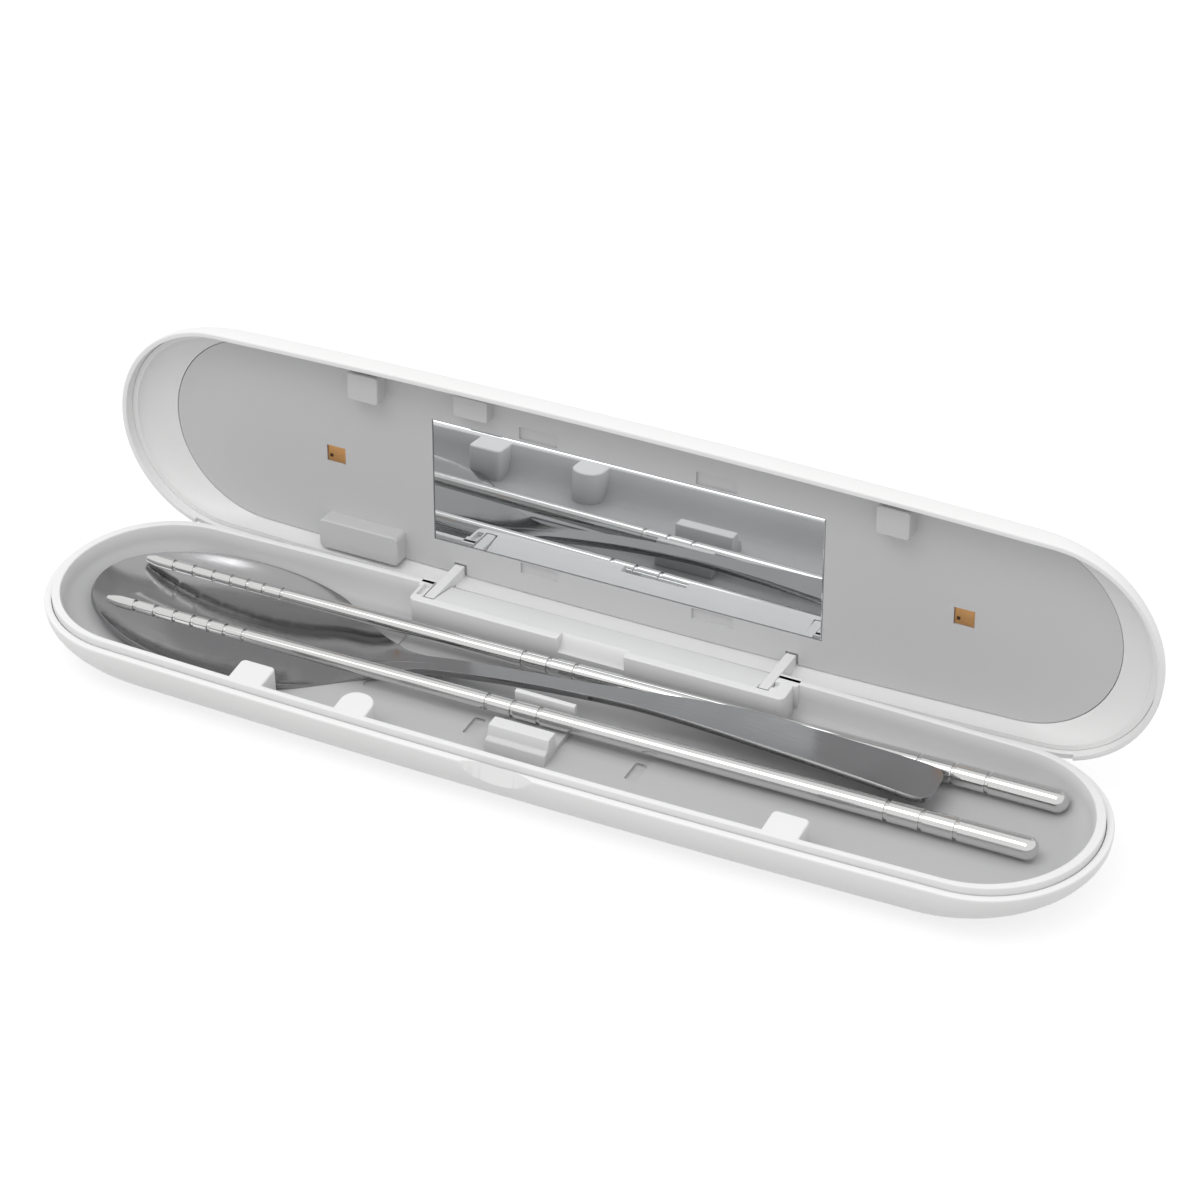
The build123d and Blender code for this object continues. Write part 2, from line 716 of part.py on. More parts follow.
# Level of the handle's top: it rises from the neck and bows down again to the end.
def handle_height(x):
    along = max(x - neck_x, 0)
    rise = handle_rise * (1 - math.exp(-along / handle_ease))
    return rim - handle_drop + rise - handle_bow * (along / (handle_end - neck_x)) ** 3


# Flat handle, narrow at the neck and widest at its round end.
def spoon_handle():
    xs = [neck_x - 8, neck_x, neck_x + 18, neck_x + 42, handle_end - 57, handle_end - 27, handle_end + 1]
    top = [(x, handle_height(x)) for x in xs]
    low = [(x, z - handle_sheet) for x, z in reversed(top)]
    side = make_face([Spline(*top), Line(top[-1], low[0]), Spline(*low), Line(low[-1], top[0])])
    strip = Pos(0, 30, 0) * extrude(Plane.XZ * side, 60)
    start = neck_x - 7.5
    turn = handle_end - 5.5
    front = Spline((start, -4.6), (neck_x - 2, -0.9), (neck_x + 8, 0.9), (neck_x + 42, 2.2),
                   (neck_x + 61, 2.65), (handle_end - 39.5, 1.4), (turn, 0.4))
    back = Spline((turn, 11.9), (handle_end - 29, 11.3), (handle_end - 44.5, 11.5), (neck_x + 58.5, 8.15),
                  (neck_x + 42, 6.4), (neck_x + 8, 6.6), (neck_x - 2, 7.2), (start, 10.2))
    tip = [ThreePointArc((turn, 0.4), (handle_end - 1.2, 1.7), (handle_end, 6.2)),
           ThreePointArc((handle_end, 6.2), (handle_end - 1.2, 10.7), (turn, 11.9))]
    plan = make_face([front] + tip + [back, Line((start, 10.2), (start, -4.6))])
    return strip & Pos(0, 0, rim - 12) * extrude(plan, 20)


def spoon():
    shell = ellipsoid(spoon_half_length, spoon_half_width, spoon_depth)
    hollow = ellipsoid(spoon_half_length - spoon_sheet, spoon_half_width - spoon_sheet,
                       spoon_depth - spoon_sheet)
    trim = Rot(0, spoon_rim_slope, 0) * Pos(0, 0, 20) * Box(200, 80, 40)
    trim = Pos(spoon_x, spoon_y, rim - spoon_rim_drop) * trim
    above_rim = trim & block(-case_length, neck_x - 1, -case_width, case_width, 0, 3 * rim)
    return shell + (spoon_handle() - shell) - hollow - above_rim


shapes = {
    "base_shell": base_shell, "base_tray": base_tray, "base_feet": base_feet, "base_screws": base_screws,
    "hinge_pins": hinge_pins, "base_latch_magnets": base_latch_magnets, "sensor_magnet": sensor_magnet,
    "spoon": spoon,
    "front_chopstick": lambda: chopstick(front_chopstick_y),
    "rear_chopstick": lambda: chopstick(rear_chopstick_y),
}
lid_shapes = {
    "lid_shell": lid_shell, "lid_frame": lid_frame, "lid_liner": lid_liner, "mirror": mirror,
    "mirror_tape": mirror_tape, "uv_leds": uv_leds, "led_boards": led_boards, "main_board": main_board,
    "board_screws": board_screws, "board_chips": board_chips, "button_switch": button_switch,
    "switch_plunger": switch_plunger, "power_button": power_button, "indicator_lens": indicator_lens,
    "indicator_led": indicator_led, "battery": battery, "battery_tape": battery_tape,
    "charge_port": charge_port, "charge_board": charge_board, "lid_latch_magnets": lid_latch_magnets,
    "lid_sensor": lid_sensor, "led_leads": led_leads, "battery_leads": battery_leads,
    "charge_leads": charge_leads, "sensor_leads": sensor_leads,
}


def save(name, pieces):
    if not isinstance(pieces, list):
        pieces = [pieces]
    solids = [solid for piece in pieces for solid in piece.solids()]
    export_step(Compound(children=solids), "parts/" + name + ".step")


os.makedirs("parts", exist_ok=True)
for name, make in shapes.items():
    save(name, make())
for name, make in lid_shapes.items():
    drawn = make()
    save(name, [opened(piece) for piece in drawn] if isinstance(drawn, list) else opened(drawn))
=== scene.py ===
import json
import math

import bmesh
import bpy
from mathutils import Matrix, Vector


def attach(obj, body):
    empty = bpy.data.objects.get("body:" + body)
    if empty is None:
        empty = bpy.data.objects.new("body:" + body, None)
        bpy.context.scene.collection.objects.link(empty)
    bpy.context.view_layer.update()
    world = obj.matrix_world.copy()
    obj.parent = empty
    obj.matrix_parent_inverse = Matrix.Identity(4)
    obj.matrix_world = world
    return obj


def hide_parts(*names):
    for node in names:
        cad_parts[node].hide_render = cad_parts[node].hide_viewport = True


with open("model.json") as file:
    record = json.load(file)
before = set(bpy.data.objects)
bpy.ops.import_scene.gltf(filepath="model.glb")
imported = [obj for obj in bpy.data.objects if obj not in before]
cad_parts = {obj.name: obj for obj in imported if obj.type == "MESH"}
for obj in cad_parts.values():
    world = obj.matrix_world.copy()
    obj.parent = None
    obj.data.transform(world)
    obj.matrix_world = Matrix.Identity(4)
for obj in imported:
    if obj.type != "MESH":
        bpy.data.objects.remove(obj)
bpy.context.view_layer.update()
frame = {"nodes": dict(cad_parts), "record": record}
nodes = frame["nodes"]
bpy.ops.object.select_all(action="DESELECT")
print("frame loaded,", len(nodes), "nodes")

mm = 0.001

# The case, in millimetres. Heights called "up" are above the base's rim.
case = {
    "length": 257.2,
    "width": 56.7,
    "endRadius": 26.8,
    "rim": 13.6,
    "hingeY": 26.0,
    "hingeZ": 11.1,
    "openAngle": 94.0,
    "hingeZone": 47.5,
    "arms": (-42.8, 40.65),
    "armHalf": 1.2,
    "armSlot": 1.45,
    "endSteps": 40,
    "sideSteps": 96,
}
rim = case["rim"]
# cuts that leave the case at the back end here
backEnd = 32


# ---- camera

cameraValues = {
    "focalPixels": 4158.4,
    "distance": 914.506,
    "azimuth": 27.735,
    "elevation": 35.733,
    "roll": -2.075,
    "offset": (-9.525, -21.796),
    "pictureWidth": 1200,
    "sensor": 36,
    "clip": (0.05, 20),
}


def placeCamera(values):
    az, el, roll = (math.radians(values[k]) for k in ("azimuth", "elevation", "roll"))
    ahead = Vector((-math.sin(az) * math.cos(el), math.cos(az) * math.cos(el), -math.sin(el)))
    level = Vector((math.cos(az), math.sin(az), 0))
    over = level.cross(ahead)
    right = level * math.cos(roll) + over * math.sin(roll)
    top = over * math.cos(roll) - level * math.sin(roll)
    tx, ty = values["offset"]
    spot = -(right * tx + top * ty + ahead * values["distance"]) + Vector((0, 0, rim))
    data = bpy.data.cameras.new("camera")
    data.sensor_width = values["sensor"]
    data.lens = values["focalPixels"] / values["pictureWidth"] * values["sensor"]
    data.clip_start, data.clip_end = values["clip"]
    camera = bpy.data.objects.new("camera", data)
    bpy.context.scene.collection.objects.link(camera)
    turn = Matrix((right, top, -ahead)).transposed().to_4x4()
    camera.matrix_world = Matrix.Translation(spot * mm) @ turn
    bpy.context.scene.camera = camera


placeCamera(cameraValues)
print("camera placed")


# ---- materials

def shade(code):
    parts = [int(code[i:i + 2], 16) / 255 for i in (1, 3, 5)]
    return tuple(p / 12.92 if p <= 0.04045 else ((p + 0.055) / 1.055) ** 2.4 for p in parts) + (1,)


# Adds one node. A setting is a socket's value or the node's own property.
def addNode(tree, kind, settings=None, links=None):
    node = tree.nodes.new("ShaderNode" + kind)
    for name, value in (settings or {}).items():
        if isinstance(name, int) or name in node.inputs:
            node.inputs[name].default_value = value
        else:
            setattr(node, name, value)
    for name, source in (links or {}).items():
        tree.links.new(source, node.inputs[name])
    return node


def newMaterial(name):
    material = bpy.data.materials.new(name)
    material.use_nodes = True
    material.node_tree.nodes.clear()
    return material, material.node_tree


# Noise that changes once in so many millimetres.
def noise(tree, size, detail, place, roughness=0.5):
    return addNode(tree, "TexNoise", {"Scale": 1000 / size, "Detail": detail, "Roughness": roughness},
                   {"Vector": place}).outputs["Fac"]


# Two close tones, mixed by a slow drift.
def driftingTone(tree, values, size, place):
    return addNode(tree, "Mix", {"data_type": "RGBA", 6: shade(values["deep"]), 7: shade(values["colour"])},
                   {0: noise(tree, size, 2.0, place)}).outputs[2]


def spread(tree, source, low, high):
    return addNode(tree, "MapRange", {"From Min": 0.3, "From Max": 0.7, "To Min": low, "To Max": high},
                   {"Value": source}).outputs["Result"]


def bumps(tree, source, depth):
    return addNode(tree, "Bump", {"Strength": 1.0, "Distance": depth * mm}, {"Height": source}).outputs["Normal"]


# Moulded plastic: a fine grain from the mould, a very slow drift of tone, and soft handling
# marks in the gloss. A piece with a floor tone has painted shade: its colour darkens to that grey from its lip
# down, standing in for the shade at the bottom of its hollow.
def mouldedPlastic(name, values):
    material, tree = newMaterial(name)
    place = addNode(tree, "TexCoord").outputs["Object"]
    tone = driftingTone(tree, values, values["driftSize"], place)
    # painted shade: lower in the piece the colour is mixed towards the floor grey
    if "floor" in values:
        low, high = values["paintedShadeSpan"]
        height = addNode(tree, "SeparateXYZ", {}, {"Vector": place}).outputs["Z"]
        share = addNode(tree, "MapRange", {"From Min": (rim + low) * mm, "From Max": (rim + high) * mm},
                        {"Value": height}).outputs["Result"]
        tone = addNode(tree, "Mix", {"data_type": "RGBA", 6: shade(values["floor"])},
                       {0: share, 7: tone}).outputs[2]
    marks = noise(tree, values["markSize"], 4.0, place, 0.6)
    gloss = spread(tree, marks, values["roughness"] - 0.04, values["roughness"] + 0.05)
    grain = noise(tree, values["grainSize"], 3.0, place)
    shader = addNode(tree, "BsdfPrincipled", {"IOR": values["ior"]},
                     {"Base Color": tone, "Roughness": gloss,
                      "Normal": bumps(tree, grain, values["grainDepth"])})
    addNode(tree, "OutputMaterial", {}, {"Surface": shader.outputs["BSDF"]})
    return material


metalDrift = 14


# Polished metal: the polishing wheel leaves faint lines along the piece and a little haze.
def polishedMetal(name, values):
    material, tree = newMaterial(name)
    place = addNode(tree, "TexCoord").outputs["Object"]
    stretch = addNode(tree, "Mapping", {"Scale": values.get("stretch", (1, 1, 1))}, {"Vector": place})
    wear = noise(tree, values["lineSize"], 4.0, stretch.outputs["Vector"], 0.65)
    haze = spread(tree, wear, values["roughness"] * 0.7, values["roughness"] * 1.4)
    shader = addNode(tree, "BsdfPrincipled", {"Metallic": 1.0},
                     {"Base Color": driftingTone(tree, values, metalDrift, place), "Roughness": haze,
                      "Normal": bumps(tree, wear, values["lineDepth"])})
    addNode(tree, "OutputMaterial", {}, {"Surface": shader.outputs["BSDF"]})
    return material


# Sizes and depths in millimetres. The last two are for a piece with painted shade: the grey that it darkens to
# at its floor, and the levels over which it darkens.
plasticKeys = ("colour", "deep", "roughness", "ior", "driftSize", "markSize", "grainSize", "grainDepth",
               "floor", "paintedShadeSpan")
plastics = {
    # white ABS, fine spark-eroded mould: satin with a soft highlight
    "whiteAbsSatin": ("#f1f1f1", "#ededec", 0.36, 1.54, 60, 9, 0.5, 0.004),
    # white ABS inside the case, duller mould face
    "whiteAbsInner": ("#ededed", "#e9e9e8", 0.44, 1.54, 50, 8, 0.5, 0.004),
    # the tray: the same white, with painted shade that turns it greyer towards the floor
    "whiteAbsTrayPaintedShade": ("#eeeeee", "#eaeaea", 0.42, 1.54, 50, 8, 0.5, 0.004, "#bcbcbd", (-6.0, 1.2)),
    # ABS of the panel under the lid, painted light grey: darker than the white inner plastic to stand for the
    # shade on this upright panel
    "paleAbsLinerPaintedShade": ("#cdcdce", "#c9c9ca", 0.5, 1.54, 50, 8, 0.6, 0.005),
    # white push button, glossier than the case round it
    "whiteAbsGloss": ("#f3f3f3", "#efefef", 0.22, 1.54, 20, 4, 0.4, 0.002),
    # soft grey TPE rubber feet, dull and slightly rough
    "greyTpeFoot": ("#b9bab9", "#adaead", 0.8, 1.5, 12, 3, 0.35, 0.02),
    # black nylon switch body
    "blackNylonSwitch": ("#1c1c1e", "#151517", 0.55, 1.53, 4, 2, 0.3, 0.01),
    # black epoxy chip packages
    "blackEpoxyChip": ("#242426", "#1b1b1d", 0.6, 1.55, 3, 2, 0.2, 0.01),
    # green solder mask over glass fibre laminate
    "greenSolderMask": ("#1f6b43", "#1a5c39", 0.3, 1.5, 5, 2, 0.8, 0.01),
    # white acrylic foam tape
    "whiteFoamTape": ("#e2e0da", "#d6d3cc", 0.85, 1.4, 4, 1, 0.3, 0.03),
    # frosted polycarbonate light pipe
    "frostedPcLens": ("#eef2f2", "#e6ecec", 0.3, 1.585, 3, 2, 0.2, 0.004),
    # white indicator package
    "whiteLedPackage": ("#ece9d8", "#e2dfcc", 0.4, 1.5, 1, 1, 0.2, 0.004),
    # red PVC sleeve on the thin leads
    "redPvcSleeve": ("#a32a26", "#8f221f", 0.45, 1.53, 5, 2, 0.4, 0.005),
    # lamp's chip under clear silicone
    "darkSiliconeDome": ("#4a3018", "#3c2612", 0.2, 1.41, 1, 1, 0.2, 0.002),
}

# Sizes and depths in millimetres. A finish drawn one way is stretched along it.
metalKeys = ("colour", "deep", "roughness", "lineSize", "lineDepth", "stretch")
metals = {
    # stainless steel cutlery, mirror polished along its length
    "stainlessMirrorPolish": ("#d8d8d7", "#d0d0cf", 0.045, 0.5, 0.0004, (0.08, 1, 1)),
    # stainless spoon, a shade darker and softer than the turned sticks
    "stainlessSoftPolish": ("#a6a6a7", "#9c9c9d", 0.15, 0.6, 0.0008, (0.08, 1, 1)),
    # silvered glass mirror
    "silveredGlass": ("#dcdedf", "#d8dadb", 0.02, 6, 0.0001),
    # gold plated lamp frame
    "goldPlatedFrame": ("#d8a873", "#c8935c", 0.38, 0.4, 0.004),
    # nickel plate on the sintered magnets
    "nickelPlate": ("#c2beb5", "#b3afa6", 0.25, 0.5, 0.002),
    # zinc plated screws
    "zincPlate": ("#b9bcc0", "#a5a8ad", 0.3, 0.3, 0.003),
    # drawn stainless hinge pins
    "drawnStainless": ("#bfbfbd", "#b0b0ae", 0.3, 0.3, 0.002, (0.1, 1, 1)),
    # deep drawn steel shell of the charging socket
    "drawnSocketSteel": ("#b5b7ba", "#a8aaad", 0.28, 0.4, 0.002, (1, 0.2, 1)),
    # aluminium laminate pouch of the cell
    "foilPouch": ("#c4c7c9", "#b7babc", 0.35, 2.0, 0.02),
}

finishes = {name: mouldedPlastic(name, dict(zip(plasticKeys, row))) for name, row in plastics.items()}
finishes.update({name: polishedMetal(name, dict(zip(metalKeys, row))) for name, row in metals.items()})

# Record slot to finish, for the CAD nodes.
slotFinish = {
    "outer_plastic": "whiteAbsSatin",
    "inner_plastic": "whiteAbsInner",
    "liner_plastic": "paleAbsLinerPaintedShade",
    "foot_rubber": "greyTpeFoot",
    "screw_steel": "zincPlate",
    "pin_steel": "drawnStainless",
    "magnet_nickel": "nickelPlate",
    "cutlery_steel": "stainlessMirrorPolish",
    "mirror_glass": "silveredGlass",
    "foam_tape": "whiteFoamTape",
    "lamp_package": "goldPlatedFrame",
    "board_laminate": "greenSolderMask",
    "chip_black": "blackEpoxyChip",
    "switch_black": "blackNylonSwitch",
    "button_plastic": "whiteAbsGloss",
    "lens_clear": "frostedPcLens",
    "indicator_white": "whiteLedPackage",
    "battery_foil": "foilPouch",
    "port_steel": "drawnSocketSteel",
    "lead_sleeve": "redPvcSleeve",
}
for entry in frame["record"]["subparts"]:
    piece = nodes[entry["node"]]
    for spot in piece.material_slots:
        spot.material = finishes[slotFinish[entry["material_slot"]]]
print("finishes made,", len(finishes))


# ---- modelling helpers

# radius of a ring before its points are placed, in metres
seedRadius = 0.01
# how close, in millimetres, an edge lies to the plane that it is in
near = 0.001


def deselect():
    bpy.ops.object.select_all(action="DESELECT")


def selectMesh():
    bpy.ops.mesh.select_all(action="SELECT")


def setMode(mode):
    bpy.ops.object.mode_set(mode=mode)


def current(name):
    piece = bpy.context.object
    piece.name = name
    piece.data.name = name
    return piece


def only(piece):
    deselect()
    piece.select_set(True)
    bpy.context.view_layer.objects.active = piece


# Point of the case outline drawn in from the ends and the sides. Place counts round the ring.
def ovalPoint(place, endInset, sideInset):
    a = case["length"] / 2 - endInset
    b = case["width"] / 2 - sideInset
    r = b * case["endRadius"] / (case["width"] / 2)
    big = ((a - r) ** 2 + b * b - r * r) / (2 * (b - r))
    half = math.atan2(big - b, a - r)
    ends, sides = case["endSteps"], case["sideSteps"]
    runs = [(ends, a - r, 0, r, -half, half), (sides, 0, b - big, big, half, math.pi - half),
            (ends, r - a, 0, r, math.pi - half, math.pi + half),
            (sides, 0, big - b, big, math.pi + half, 2 * math.pi - half)]
    for steps, cx, cy, radius, start, stop in runs:
        if place < steps:
            turn = start + (stop - start) * place / steps
            return cx + radius * math.cos(turn), cy + radius * math.sin(turn)
        place -= steps
    return ovalPoint(0, endInset, sideInset)


ovalCount = 2 * (case["endSteps"] + case["sideSteps"])


def ovalRing(place, ring):
    x, y = ovalPoint(place, ring[0], ring[1])
    return x, y, rim + ring[2]


# Ring of points that is drawn out through every ring in the list, left in edit mode.
def growRings(name, count, rings, where):
    deselect()
    bpy.ops.mesh.primitive_circle_add(vertices=count, radius=seedRadius)
    piece = current(name)
    piece.data.attributes.new("place", "INT", "POINT")
    for index, item in enumerate(piece.data.attributes["place"].data):
        item.value = index
    setMode("EDIT")
    selectMesh()
    for step, ring in enumerate(rings):
        if step:
            bpy.ops.mesh.extrude_edges_indiv()
        mesh = bmesh.from_edit_mesh(piece.data)
        layer = mesh.verts.layers.int["place"]
        for point in mesh.verts:
            if point.select:
                point.co = Vector(where(point[layer], ring)) * mm
        bmesh.update_edit_mesh(piece.data)
    return piece


# Merges points that lie together, faces the surface outward and leaves edit mode.
def closeMesh(merge=0.004):
    selectMesh()
    bpy.ops.mesh.remove_doubles(threshold=merge * mm)
    bpy.ops.mesh.normals_make_consistent(inside=False)
    setMode("OBJECT")


# Closed piece from rings: filled at both ends, or drawn back on to the first ring for a hoop.
def ringStack(name, count, rings, where, hoop=False):
    piece = growRings(name, count, rings + rings[:1] if hoop else rings, where)
    if not hoop:
        bpy.ops.mesh.edge_face_add()
        bpy.ops.mesh.select_all(action="DESELECT")
        bpy.ops.mesh.select_non_manifold()
        bpy.ops.mesh.edge_face_add()
    closeMesh()
    return piece


# Round piece that stands up from the lid, with (radius, height above the rim) rings.
def turnedPiece(name, sides, rings, x=0):
    def where(place, ring):
        turn = 2 * math.pi * place / sides
        return x + ring[0] * math.cos(turn), ring[0] * math.sin(turn), rim + ring[1]

    return ringStack(name, sides, rings, where)


def selectEdges(piece, wanted):
    bpy.ops.mesh.select_all(action="DESELECT")
    mesh = bmesh.from_edit_mesh(piece.data)
    for edge in mesh.edges:
        a, b = (v.co / mm for v in edge.verts)
        if wanted(a, b):
            edge.select = True
    bmesh.update_edit_mesh(piece.data)


# Block with its upright edges rounded first and then the edges round its ends.
def block(name, x0, x1, y0, y1, z0, z1, corner=0.0, edge=0.0, axis=2, ends=(0, 1), backOnly=False, steps=4):
    deselect()
    middle = ((x0 + x1) / 2 * mm, (y0 + y1) / 2 * mm, (z0 + z1) / 2 * mm)
    bpy.ops.mesh.primitive_cube_add(size=mm, location=middle)
    piece = current(name)
    piece.scale = (x1 - x0, y1 - y0, z1 - z0)
    bpy.ops.object.transform_apply(location=True, rotation=True, scale=True)
    setMode("EDIT")
    bpy.ops.mesh.select_mode(type="EDGE")
    if corner:
        front = (y0 + y1) / 2 if backOnly else y0 - 1
        selectEdges(piece, lambda a, b: abs(a[axis] - b[axis]) > near and a.y > front)
        bpy.ops.mesh.bevel(offset=corner * mm, segments=8, affect="EDGES")
    if edge:
        planes = [((x0, y0, z0), (x1, y1, z1))[end][axis] for end in ends]
        selectEdges(piece, lambda a, b: any(max(abs(a[axis] - p), abs(b[axis] - p)) < near for p in planes))
        bpy.ops.mesh.bevel(offset=edge * mm, segments=steps, affect="EDGES")
    bpy.ops.mesh.select_mode(type="VERT")
    setMode("OBJECT")
    return piece


# Solid with a side view of (y, height above the rim) points, drawn out along the case.
def profile(name, points, x0, x1, edge=0.0):
    deselect()
    bpy.ops.mesh.primitive_circle_add(vertices=len(points), radius=seedRadius, fill_type="NGON")
    piece = current(name)
    for point, (y, up) in zip(piece.data.vertices, points):
        point.co = (x0 * mm, y * mm, (rim + up) * mm)
    setMode("EDIT")
    selectMesh()
    bpy.ops.mesh.extrude_region_move(TRANSFORM_OT_translate={"value": ((x1 - x0) * mm, 0, 0)})
    selectMesh()
    bpy.ops.mesh.normals_make_consistent(inside=False)
    setMode("OBJECT")
    if edge:
        roundEdges(piece, edge)
    return piece


def rod(name, centre, radius, length, axis="Z", count=64):
    deselect()
    turn = {"X": (0, math.pi / 2, 0), "Y": (math.pi / 2, 0, 0), "Z": (0, 0, 0)}[axis]
    bpy.ops.mesh.primitive_cylinder_add(vertices=count, radius=radius * mm, depth=length * mm,
                                        location=[c * mm for c in centre], rotation=turn)
    piece = current(name)
    bpy.ops.object.transform_apply(location=True, rotation=True, scale=True)
    return piece


def apply(piece, kind, **settings):
    only(piece)
    modifier = piece.modifiers.new("step", kind)
    for name, value in settings.items():
        setattr(modifier, name, value)
    bpy.ops.object.modifier_apply(modifier=modifier.name)


def roundEdges(piece, width, segments=3, angle=40):
    apply(piece, "BEVEL", width=width * mm, segments=segments, limit_method="ANGLE",
          angle_limit=math.radians(angle), use_clamp_overlap=True)


def combine(piece, tools, how="DIFFERENCE"):
    for tool in tools:
        apply(piece, "BOOLEAN", operation=how, solver="EXACT", object=tool)
        bpy.data.objects.remove(tool)
    return piece


def join(pieces, name):
    deselect()
    for piece in pieces:
        piece.select_set(True)
    bpy.context.view_layer.objects.active = pieces[0]
    bpy.ops.object.join()
    return current(name)


def turnAbout(piece, pivot, degrees):
    turn = Matrix.Rotation(math.radians(degrees), 4, "X")
    piece.data.transform(Matrix.Translation(pivot) @ turn @ Matrix.Translation(-pivot))
    piece.data.update()


def swingOpen(piece):
    turnAbout(piece, Vector((0, case["hingeY"], case["hingeZ"])) * mm, -case["openAngle"])


# Last steps for every piece: swung open with the lid, finish, smoothing, the body it rides on
# and what it stands for.
def settle(piece, finish, body, slot, *stands, angle=32, weighted=True):
    if body in ("lid", "button"):
        swingOpen(piece)
    only(piece)
    piece.data.materials.clear()
    piece.data.materials.append(finishes[finish])
    bpy.ops.object.shade_smooth_by_angle(angle=math.radians(angle))
    if weighted:
        apply(piece, "WEIGHTED_NORMAL", keep_sharp=True, weight=60)
    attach(piece, body)
    if stands:
        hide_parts(*stands)
    print("made", piece.name, len(piece.data.polygons), "faces")
    return piece


def arc(steps, start=0, stop=90):
    return [math.radians(start + (stop - start) * i / steps) for i in range(steps + 1)]


# ---- base shell

baseValues = {
    "depth": 13.0,
    "corner": 12.0,
    "endStretch": 2.8,
    "wall": 1.7,
    "rimEdge": 0.45,
    "innerEdge": 0.25,
    # room for the hinge in the back of the rim
    "notchY": 24.4,
    "notchDown": 5.3,
    # thumb hollow: a leaning drum that bites into the front of the rim
    "scoopX": -0.6,
    "scoopRadius": 26,
    "scoopDeep": 0.6,
    "scoopPivotY": -53.35,
    "scoopLean": -17,
    "footRows": (-12.4, 0, 12.4),
    "footHalf": (90.5, 2.55),
    "footDeep": 1.2,
    "footCorner": 2.5,
    "screws": [(-30, -12.4), (-30, 12.4), (78, -12.4), (78, 12.4)],
    # radius, level of the middle and length
    "screwHole": (2.1, 0.5, 4.0),
}


# Rings down or up a bowl's side: turn 0 is at the rim, 90 at the bottom.
def bowlRings(values, inset, way, start, stop, steps=14):
    radius = values["corner"] - inset
    rings = []
    for turn in arc(steps, start, stop):
        run = radius * (1 - math.cos(turn))
        up = way * (values["depth"] - values["corner"] + radius * math.sin(turn))
        rings.append((inset + values["endStretch"] * run, inset + run, up))
    return rings


def rimRings(values, way):
    outer, inner, wall = values["rimEdge"], values["innerEdge"], values["wall"]
    rings = [(outer * (1 - math.cos(t)), outer * (1 - math.cos(t)), way * (outer - outer * math.sin(t)))
             for t in arc(4)]
    rings += [(wall - inner + inner * math.sin(t), wall - inner + inner * math.sin(t),
               way * (inner - inner * math.cos(t))) for t in arc(3)]
    return rings


def bowl(name, values, way):
    rings = bowlRings(values, 0, way, 90, 0) + rimRings(values, way)
    return ringStack(name, ovalCount, rings + bowlRings(values, values["wall"], way, 0, 90), ovalRing)


def makeBaseShell(values):
    shell = bowl("baseShell", values, -1)
    zone = case["hingeZone"]
    notch = block("notch", -zone, zone, values["notchY"], backEnd, rim - values["notchDown"], rim + 1)
    x, radius = values["scoopX"], values["scoopRadius"]
    scoop = rod("scoop", (x, values["scoopDeep"] - case["width"] / 2 - radius, rim), radius, 16, count=256)
    turnAbout(scoop, Vector((x, values["scoopPivotY"], rim)) * mm, values["scoopLean"])
    halfX, halfY = values["footHalf"]
    slots = [block("slot", -halfX, halfX, y - halfY, y + halfY, 0, values["footDeep"],
                   corner=values["footCorner"]) for y in values["footRows"]]
    radius, z, length = values["screwHole"]
    holes = [rod("hole", (x, y, z), radius, length) for x, y in values["screws"]]
    combine(shell, [notch, scoop] + slots + holes)
    settle(shell, "whiteAbsSatin", "base", "outer_plastic", "base_shell")


makeBaseShell(baseValues)


# ---- tray

trayValues = {
    "lipUp": 1.8,
    "lipOuter": 1.85,
    "lipEnd": 4.0,
    "lipSide": 3.4,
    "edge": 0.35,
    "skirtTurn": 38.4,
    # wall inside the lip: two insets and a level at its top, and how far they go to the floor
    "wallTop": (4.5, 3.6, -1.0),
    "wallRun": (7.5, 3.8, 5.0),
    "floorDown": 6.0,
    # hollow for the spoon's bowl
    "dishCentre": (-81.5, 1.6, -0.8),
    "dishHalf": (38.9, 22.5, 9.0),
    "dishTurn": -1.5,
    "dishWall": 1.3,
    "dishDown": (10.9, 9.6),
    "dishTop": (-0.2, 0.4),
    # channel in the floor and two shallow slots
    "channel": (-46, 25.2, -6.3, 16),
    "channelDeep": 0.35,
    "slots": (-15.9, 23.8),
    "slotHalf": 1.5,
    "slotRun": (-12.3, -6.3),
    "slotDeep": 0.8,
    # tabs in front: middle, half width, front and corner
    "tabs": [(-65.0, 4.3, -25.25, 1.2), (65.0, 4.3, -25.25, 1.2), (-38.4, 4.0, -25.5, 3.6)],
    "tabBack": -17.95,
    "tabEdge": 0.45,
    "tabDown": 0.4,
    "tabSlope": 0.06,
    "tabLevelY": -24.95,
    # block in front of the hinge and flange behind it, sloping down to the back
    "platform": (-47.0, 46.5, 17.9, 24.3),
    "platformDown": 0.5,
    "flangeY": 23.5,
    "flangeDown": 5.1,
    "flangeTurn": 25,
    "flangeEdge": 0.3,
    "slope": 0.24,
    "ridgeY": 19.8,
    "flangeRidgeY": 26.5,
    # finger ramp in the front of the block
    "rampEnds": (-9.0, 7.6),
    "rampDown": 2.0,
    "rampY": 17.9,
    "rampRun": 3.3,
    "rampSpare": (0.9, 0.4),
    "armRoom": 7.6,
    "armRoomDown": 3.2,
    # pockets beside the arms: ends from the arm, then front and back
    "pockets": [(-3.35, -1.75, 20.2, 24.6), (1.15, 2.75, 21.2, 23.4)],
    "pocketUp": 0.7,
    # clip that holds the front stick: a thick stepped prong, a thin prong and a seat
    "clip": [
        ([(-10.4, -6.3), (-10.4, -0.4), (-13.6, -0.4), (-14.5, -2.9), (-15.7, -3.3), (-16.4, -6.3)],
         -9.9, 5.0, 0.3),
        ([(-1.2, -6.3), (-1.2, 0.1), (0.1, 0.1), (0.6, -6.3)], -9.9, 5.0, 0.25),
        ([(-10.8, -6.3), (-10.8, -4.75), (-0.8, -4.75), (-0.8, -6.3)], -9.7, 4.8, 0.0),
    ],
}


